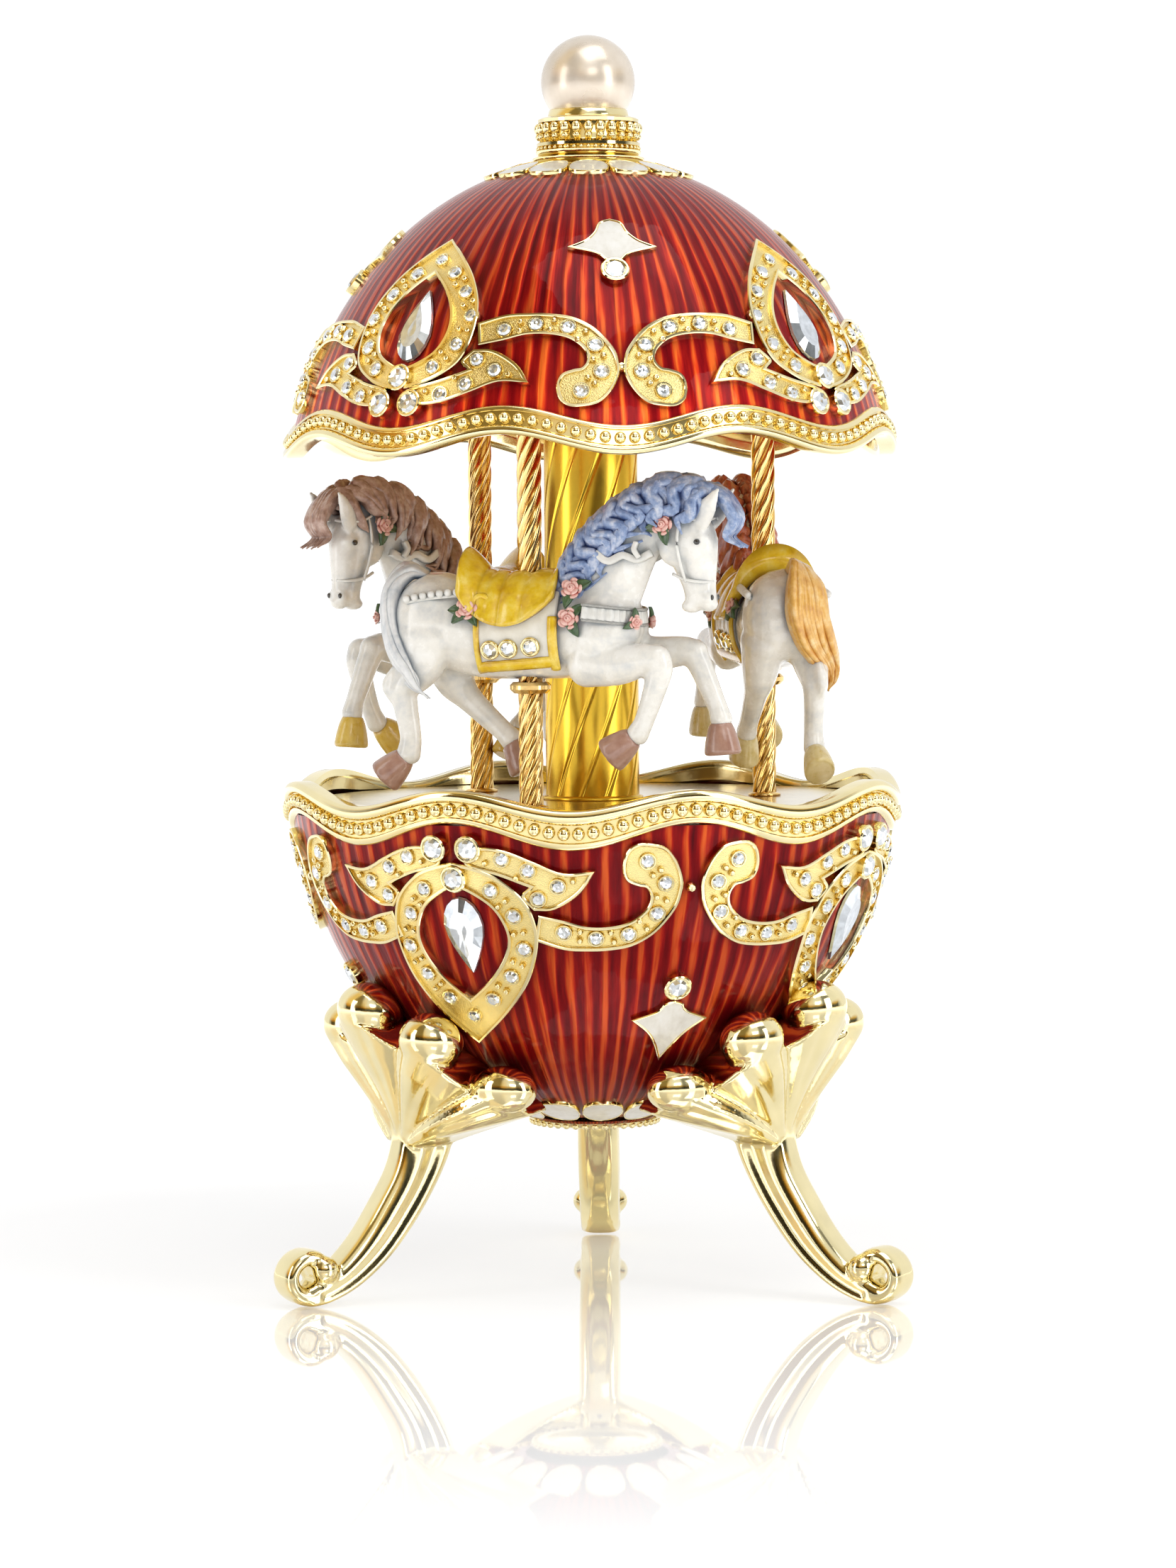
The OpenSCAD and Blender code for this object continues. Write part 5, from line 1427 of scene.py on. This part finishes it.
# each hair and hoof paint darkens to its painted shade colour in the recesses
for key, ((mane, mane_tones, mane_recess_shade), (tail, tail_tones, tail_recess_shade)) in HAIR.items():
    MANES[key] = gloss(mane, mane_tones, MANE_ROUGH[key], 0.5, 0.9, 0.4, recess_shade=mane_recess_shade, reach=0.9)
    TAILS[key] = gloss(tail, tail_tones, *TAIL_FINISH[key], 0.6, 0.3, recess_shade=tail_recess_shade, reach=1.0)
for key, (name, tones, rough, deep) in HOOF_PAINT.items():
    HOOVES[key] = gloss(name, tones, rough, 0.6, 0.7, 0.2, recess_shade=deep)

body_one, hoof_one, mane_one, tail_one = horse_body(), hoof_mesh(), mane_mesh(), tail_mesh()
saddle_one, tack_one = saddle_mesh(), tack_mesh()
blanket_one, border_one = blanket_meshes()
trim = {key: b.mesh("trim_" + key) for key, b in trims().items()}
for key, spot in POLE_MATRIX.items():
    parts = [("body", body_one, HORSE_WHITE, ["horse_" + key]), ("hooves", hoof_one, HOOVES[key], []),
             ("mane", mane_one, MANES[key], []), ("tail", tail_one, TAILS[key], []),
             ("saddle", saddle_one, SADDLE_YELLOW, []), ("blanket", blanket_one, BLANKET_CREAM, []),
             ("blanket_border", border_one, SADDLE_YELLOW, []), ("harness", tack_one, TACK_WHITE, []),
             ("roses", trim["roses"], ROSE_PINK, []), ("leaves", trim["leaves"], LEAF_GREEN, []),
             ("beads", trim["beads"], TACK_WHITE, []), ("stones", trim["stones"], CRYSTAL, []),
             ("stone_rims", trim["rims"], GOLD, []), ("eyes", trim["eyes"], EYE_BLACK, [])]
    for part, me, mat, stands_for in parts:
        name = "horse_" + key + "_" + part
        piece(name, moved(me, name, spot), "carousel", mat, stands_for)


# ---------- carried-over parts ----------

slot_materials = {"red_enamel": CUP_ENAMEL, "polished_gold": GOLD, "deep_gold": DEEP_GOLD,
                  "column_gold": COLUMN_GOLD, "champagne": CHAMPAGNE, "brass": BRASS, "steel": STEEL,
                  "spring_steel": SPRING_STEEL, "crystal": CRYSTAL, "white_enamel": WHITE_ENAMEL,
                  "horse_enamel": WHITE_ENAMEL, "pearl": PEARL, "nylon": NYLON}
node_slots = {n["node"]: n["material_slot"] for n in frame["record"]["subparts"]}
for name, ob in frame["nodes"].items():
    mat = slot_materials.get(node_slots.get(name), BRASS)
    ob.data.materials.clear()
    ob.data.materials.append(mat)


# ---------- floor, light and camera ----------


def floor_material():
    """White gloss: a mirror image of the object that fades with distance from its axis, on a floor with
    painted glow.
    """
    mat, nt, bsdf = new_material("gloss_floor")
    tc = node(nt, "ShaderNodeTexCoord")
    xyz = node(nt, "ShaderNodeSeparateXYZ", {0: tc.outputs["Object"]}).outputs
    away = math_node(nt, "SQRT", math_node(nt, "ADD", math_node(nt, "MULTIPLY", xyz[0], xyz[0]),
                                           math_node(nt, "MULTIPLY", xyz[1], xyz[1])))
    fade = node(nt, "ShaderNodeMapRange", {"Value": away, "From Min": 0.02, "From Max": 0.242,
                                           "To Min": 0.60, "To Max": 0.0})
    soft = noise_node(nt, place_coords(nt), 0.02, 2)
    gloss_bsdf = node(nt, "ShaderNodeBsdfAnisotropic", {"Color": (1, 1, 1, 1)})
    rr = node(nt, "ShaderNodeMapRange", {"Value": soft, "To Min": 0.015, "To Max": 0.03})
    nt.links.new(rr.outputs[0], gloss_bsdf.inputs["Roughness"])
    bsdf.inputs["Base Color"].default_value = (0.9, 0.9, 0.9, 1)
    bsdf.inputs["Roughness"].default_value = 0.6
    bsdf.inputs["Specular IOR Level"].default_value = 0
    bsdf.inputs["Emission Color"].default_value = (1, 1, 1, 1)
    # painted light: the floor glows by its own emission, weaker near the axis and full white further out
    lift = node(nt, "ShaderNodeMapRange", {"Value": away, "From Min": 0.10, "From Max": 0.40,
                                           "To Min": 0.44, "To Max": 1.1})
    nt.links.new(lift.outputs[0], bsdf.inputs["Emission Strength"])
    mix = node(nt, "ShaderNodeMixShader", {0: fade.outputs[0], 1: bsdf.outputs[0], 2: gloss_bsdf.outputs[0]})
    out = next(n for n in nt.nodes if n.type == "OUTPUT_MATERIAL")
    nt.links.new(mix.outputs[0], out.inputs[0])
    return mat


fl = Build()
fl.add([(-3000, -3000, -0.02), (3000, -3000, -0.02), (3000, 3000, -0.02), (-3000, 3000, -0.02)],
       np.array([(0, 1, 2, 3)]))
floor = bpy.data.objects.new("floor", fl.mesh("floor"))
floor.data.materials.append(floor_material())
bpy.context.scene.collection.objects.link(floor)


LIGHTS_FACE = Vector((0, 0, 0.08))


def area_light(name, at, size, power):
    """A soft box that faces the middle of the object."""
    data = bpy.data.lights.new(name, "AREA")
    data.shape = "RECTANGLE"
    data.size, data.size_y = size
    data.energy = power
    ob = bpy.data.objects.new(name, data)
    ob.location = at
    ob.rotation_euler = (LIGHTS_FACE - Vector(at)).to_track_quat("-Z", "Y").to_euler()
    bpy.context.scene.collection.objects.link(ob)


area_light("top_box", (0.10, -0.16, 0.70), (0.50, 0.42), 1.65)
area_light("left_box", (-0.62, -0.30, 0.26), (0.20, 0.55), 0.95)
area_light("right_box", (0.55, -0.42, 0.30), (0.22, 0.55), 1.45)
area_light("front_box", (0.16, -0.80, 0.48), (0.30, 0.22), 0.55)


def world():
    """White all round for the camera and for soft light. Reflections also see a dark card with amber
    edges at the horizon in front, grey stripes, and a warm left side."""
    w = bpy.data.worlds.new("studio")
    bpy.context.scene.world = w
    w.use_nodes = True
    nt = w.node_tree
    nt.nodes.clear()
    tc = node(nt, "ShaderNodeTexCoord")
    xyz = node(nt, "ShaderNodeSeparateXYZ", {0: tc.outputs["Generated"]}).outputs
    azimuth = math_node(nt, "ARCTAN2", xyz[0], math_node(nt, "MULTIPLY", xyz[1], -1.0))
    stripes = math_node(nt, "COSINE", math_node(nt, "MULTIPLY", azimuth, 4.0))
    stripe = math_node(nt, "MULTIPLY_ADD", stripes, 0.5, 0.5)
    front = ramp(nt, math_node(nt, "MULTIPLY_ADD", xyz[2], 0.5, 0.5),
                 [(0.0, (0.50, 0.48, 0.42)), (0.40, (0.85, 0.85, 0.84)), (0.465, (0.80, 0.78, 0.70)),
                  (0.495, (0.62, 0.40, 0.10)), (0.515, (0.05, 0.055, 0.045)), (0.58, (0.10, 0.10, 0.08)),
                  (0.64, (0.70, 0.46, 0.14)), (0.72, (0.95, 0.95, 0.93)), (1.0, (0.85, 0.85, 0.85))])
    card = ramp(nt, stripe, [(0.25, (0.30, 0.30, 0.28)), (0.6, (1, 1, 1))])
    seen = mix_colour(nt, 1.0, front, card, "MULTIPLY")
    to_right = math_node(nt, "MULTIPLY_ADD", xyz[0], 0.5, 0.5)
    warm = ramp(nt, to_right, [(0.30, (1.0, 0.72, 0.28)), (0.47, (1, 1, 1))])
    seen = mix_colour(nt, 1.0, seen, warm, "MULTIPLY")
    behind = ramp(nt, xyz[1], [(0.0, (0, 0, 0)), (0.35, (1, 1, 1))])
    seen = mix_colour(nt, behind, seen, (1.0, 1.0, 1.0))
    path = node(nt, "ShaderNodeLightPath").outputs
    glossy = node(nt, "ShaderNodeBackground", {"Color": seen, "Strength": 1.0})
    soft = node(nt, "ShaderNodeBackground", {"Color": (1, 1, 1, 1), "Strength": 0.30})
    plain = node(nt, "ShaderNodeBackground", {"Color": (1, 1, 1, 1), "Strength": 1.1})
    mix = soft
    for ray, background in (("Is Glossy Ray", glossy), ("Is Camera Ray", plain)):
        mix = node(nt, "ShaderNodeMixShader", {0: path[ray], 1: mix.outputs[0], 2: background.outputs[0]})
    out = node(nt, "ShaderNodeOutputWorld")
    nt.links.new(mix.outputs[0], out.inputs[0])


world()
scene = bpy.context.scene
scene.view_settings.view_transform = "Standard"
scene.view_settings.look = "None"

CAMERA_AT = Vector((-0.0006, -0.638, 0.0995))
CAMERA_PITCH, CAMERA_ROLL = math.radians(-3.16), math.radians(0.39)
FOCAL_MM = 114.0
cam_data = bpy.data.cameras.new("camera")
cam_data.sensor_width = 36.0
cam_data.lens = FOCAL_MM
cam_data.clip_start, cam_data.clip_end = 0.01, 20
cam = bpy.data.objects.new("camera", cam_data)
look = Matrix.Rotation(math.pi / 2 + CAMERA_PITCH, 4, "X") @ Matrix.Rotation(-CAMERA_ROLL, 4, "Z")
cam.matrix_world = Matrix.Translation(CAMERA_AT) @ look
scene.collection.objects.link(cam)
scene.camera = cam
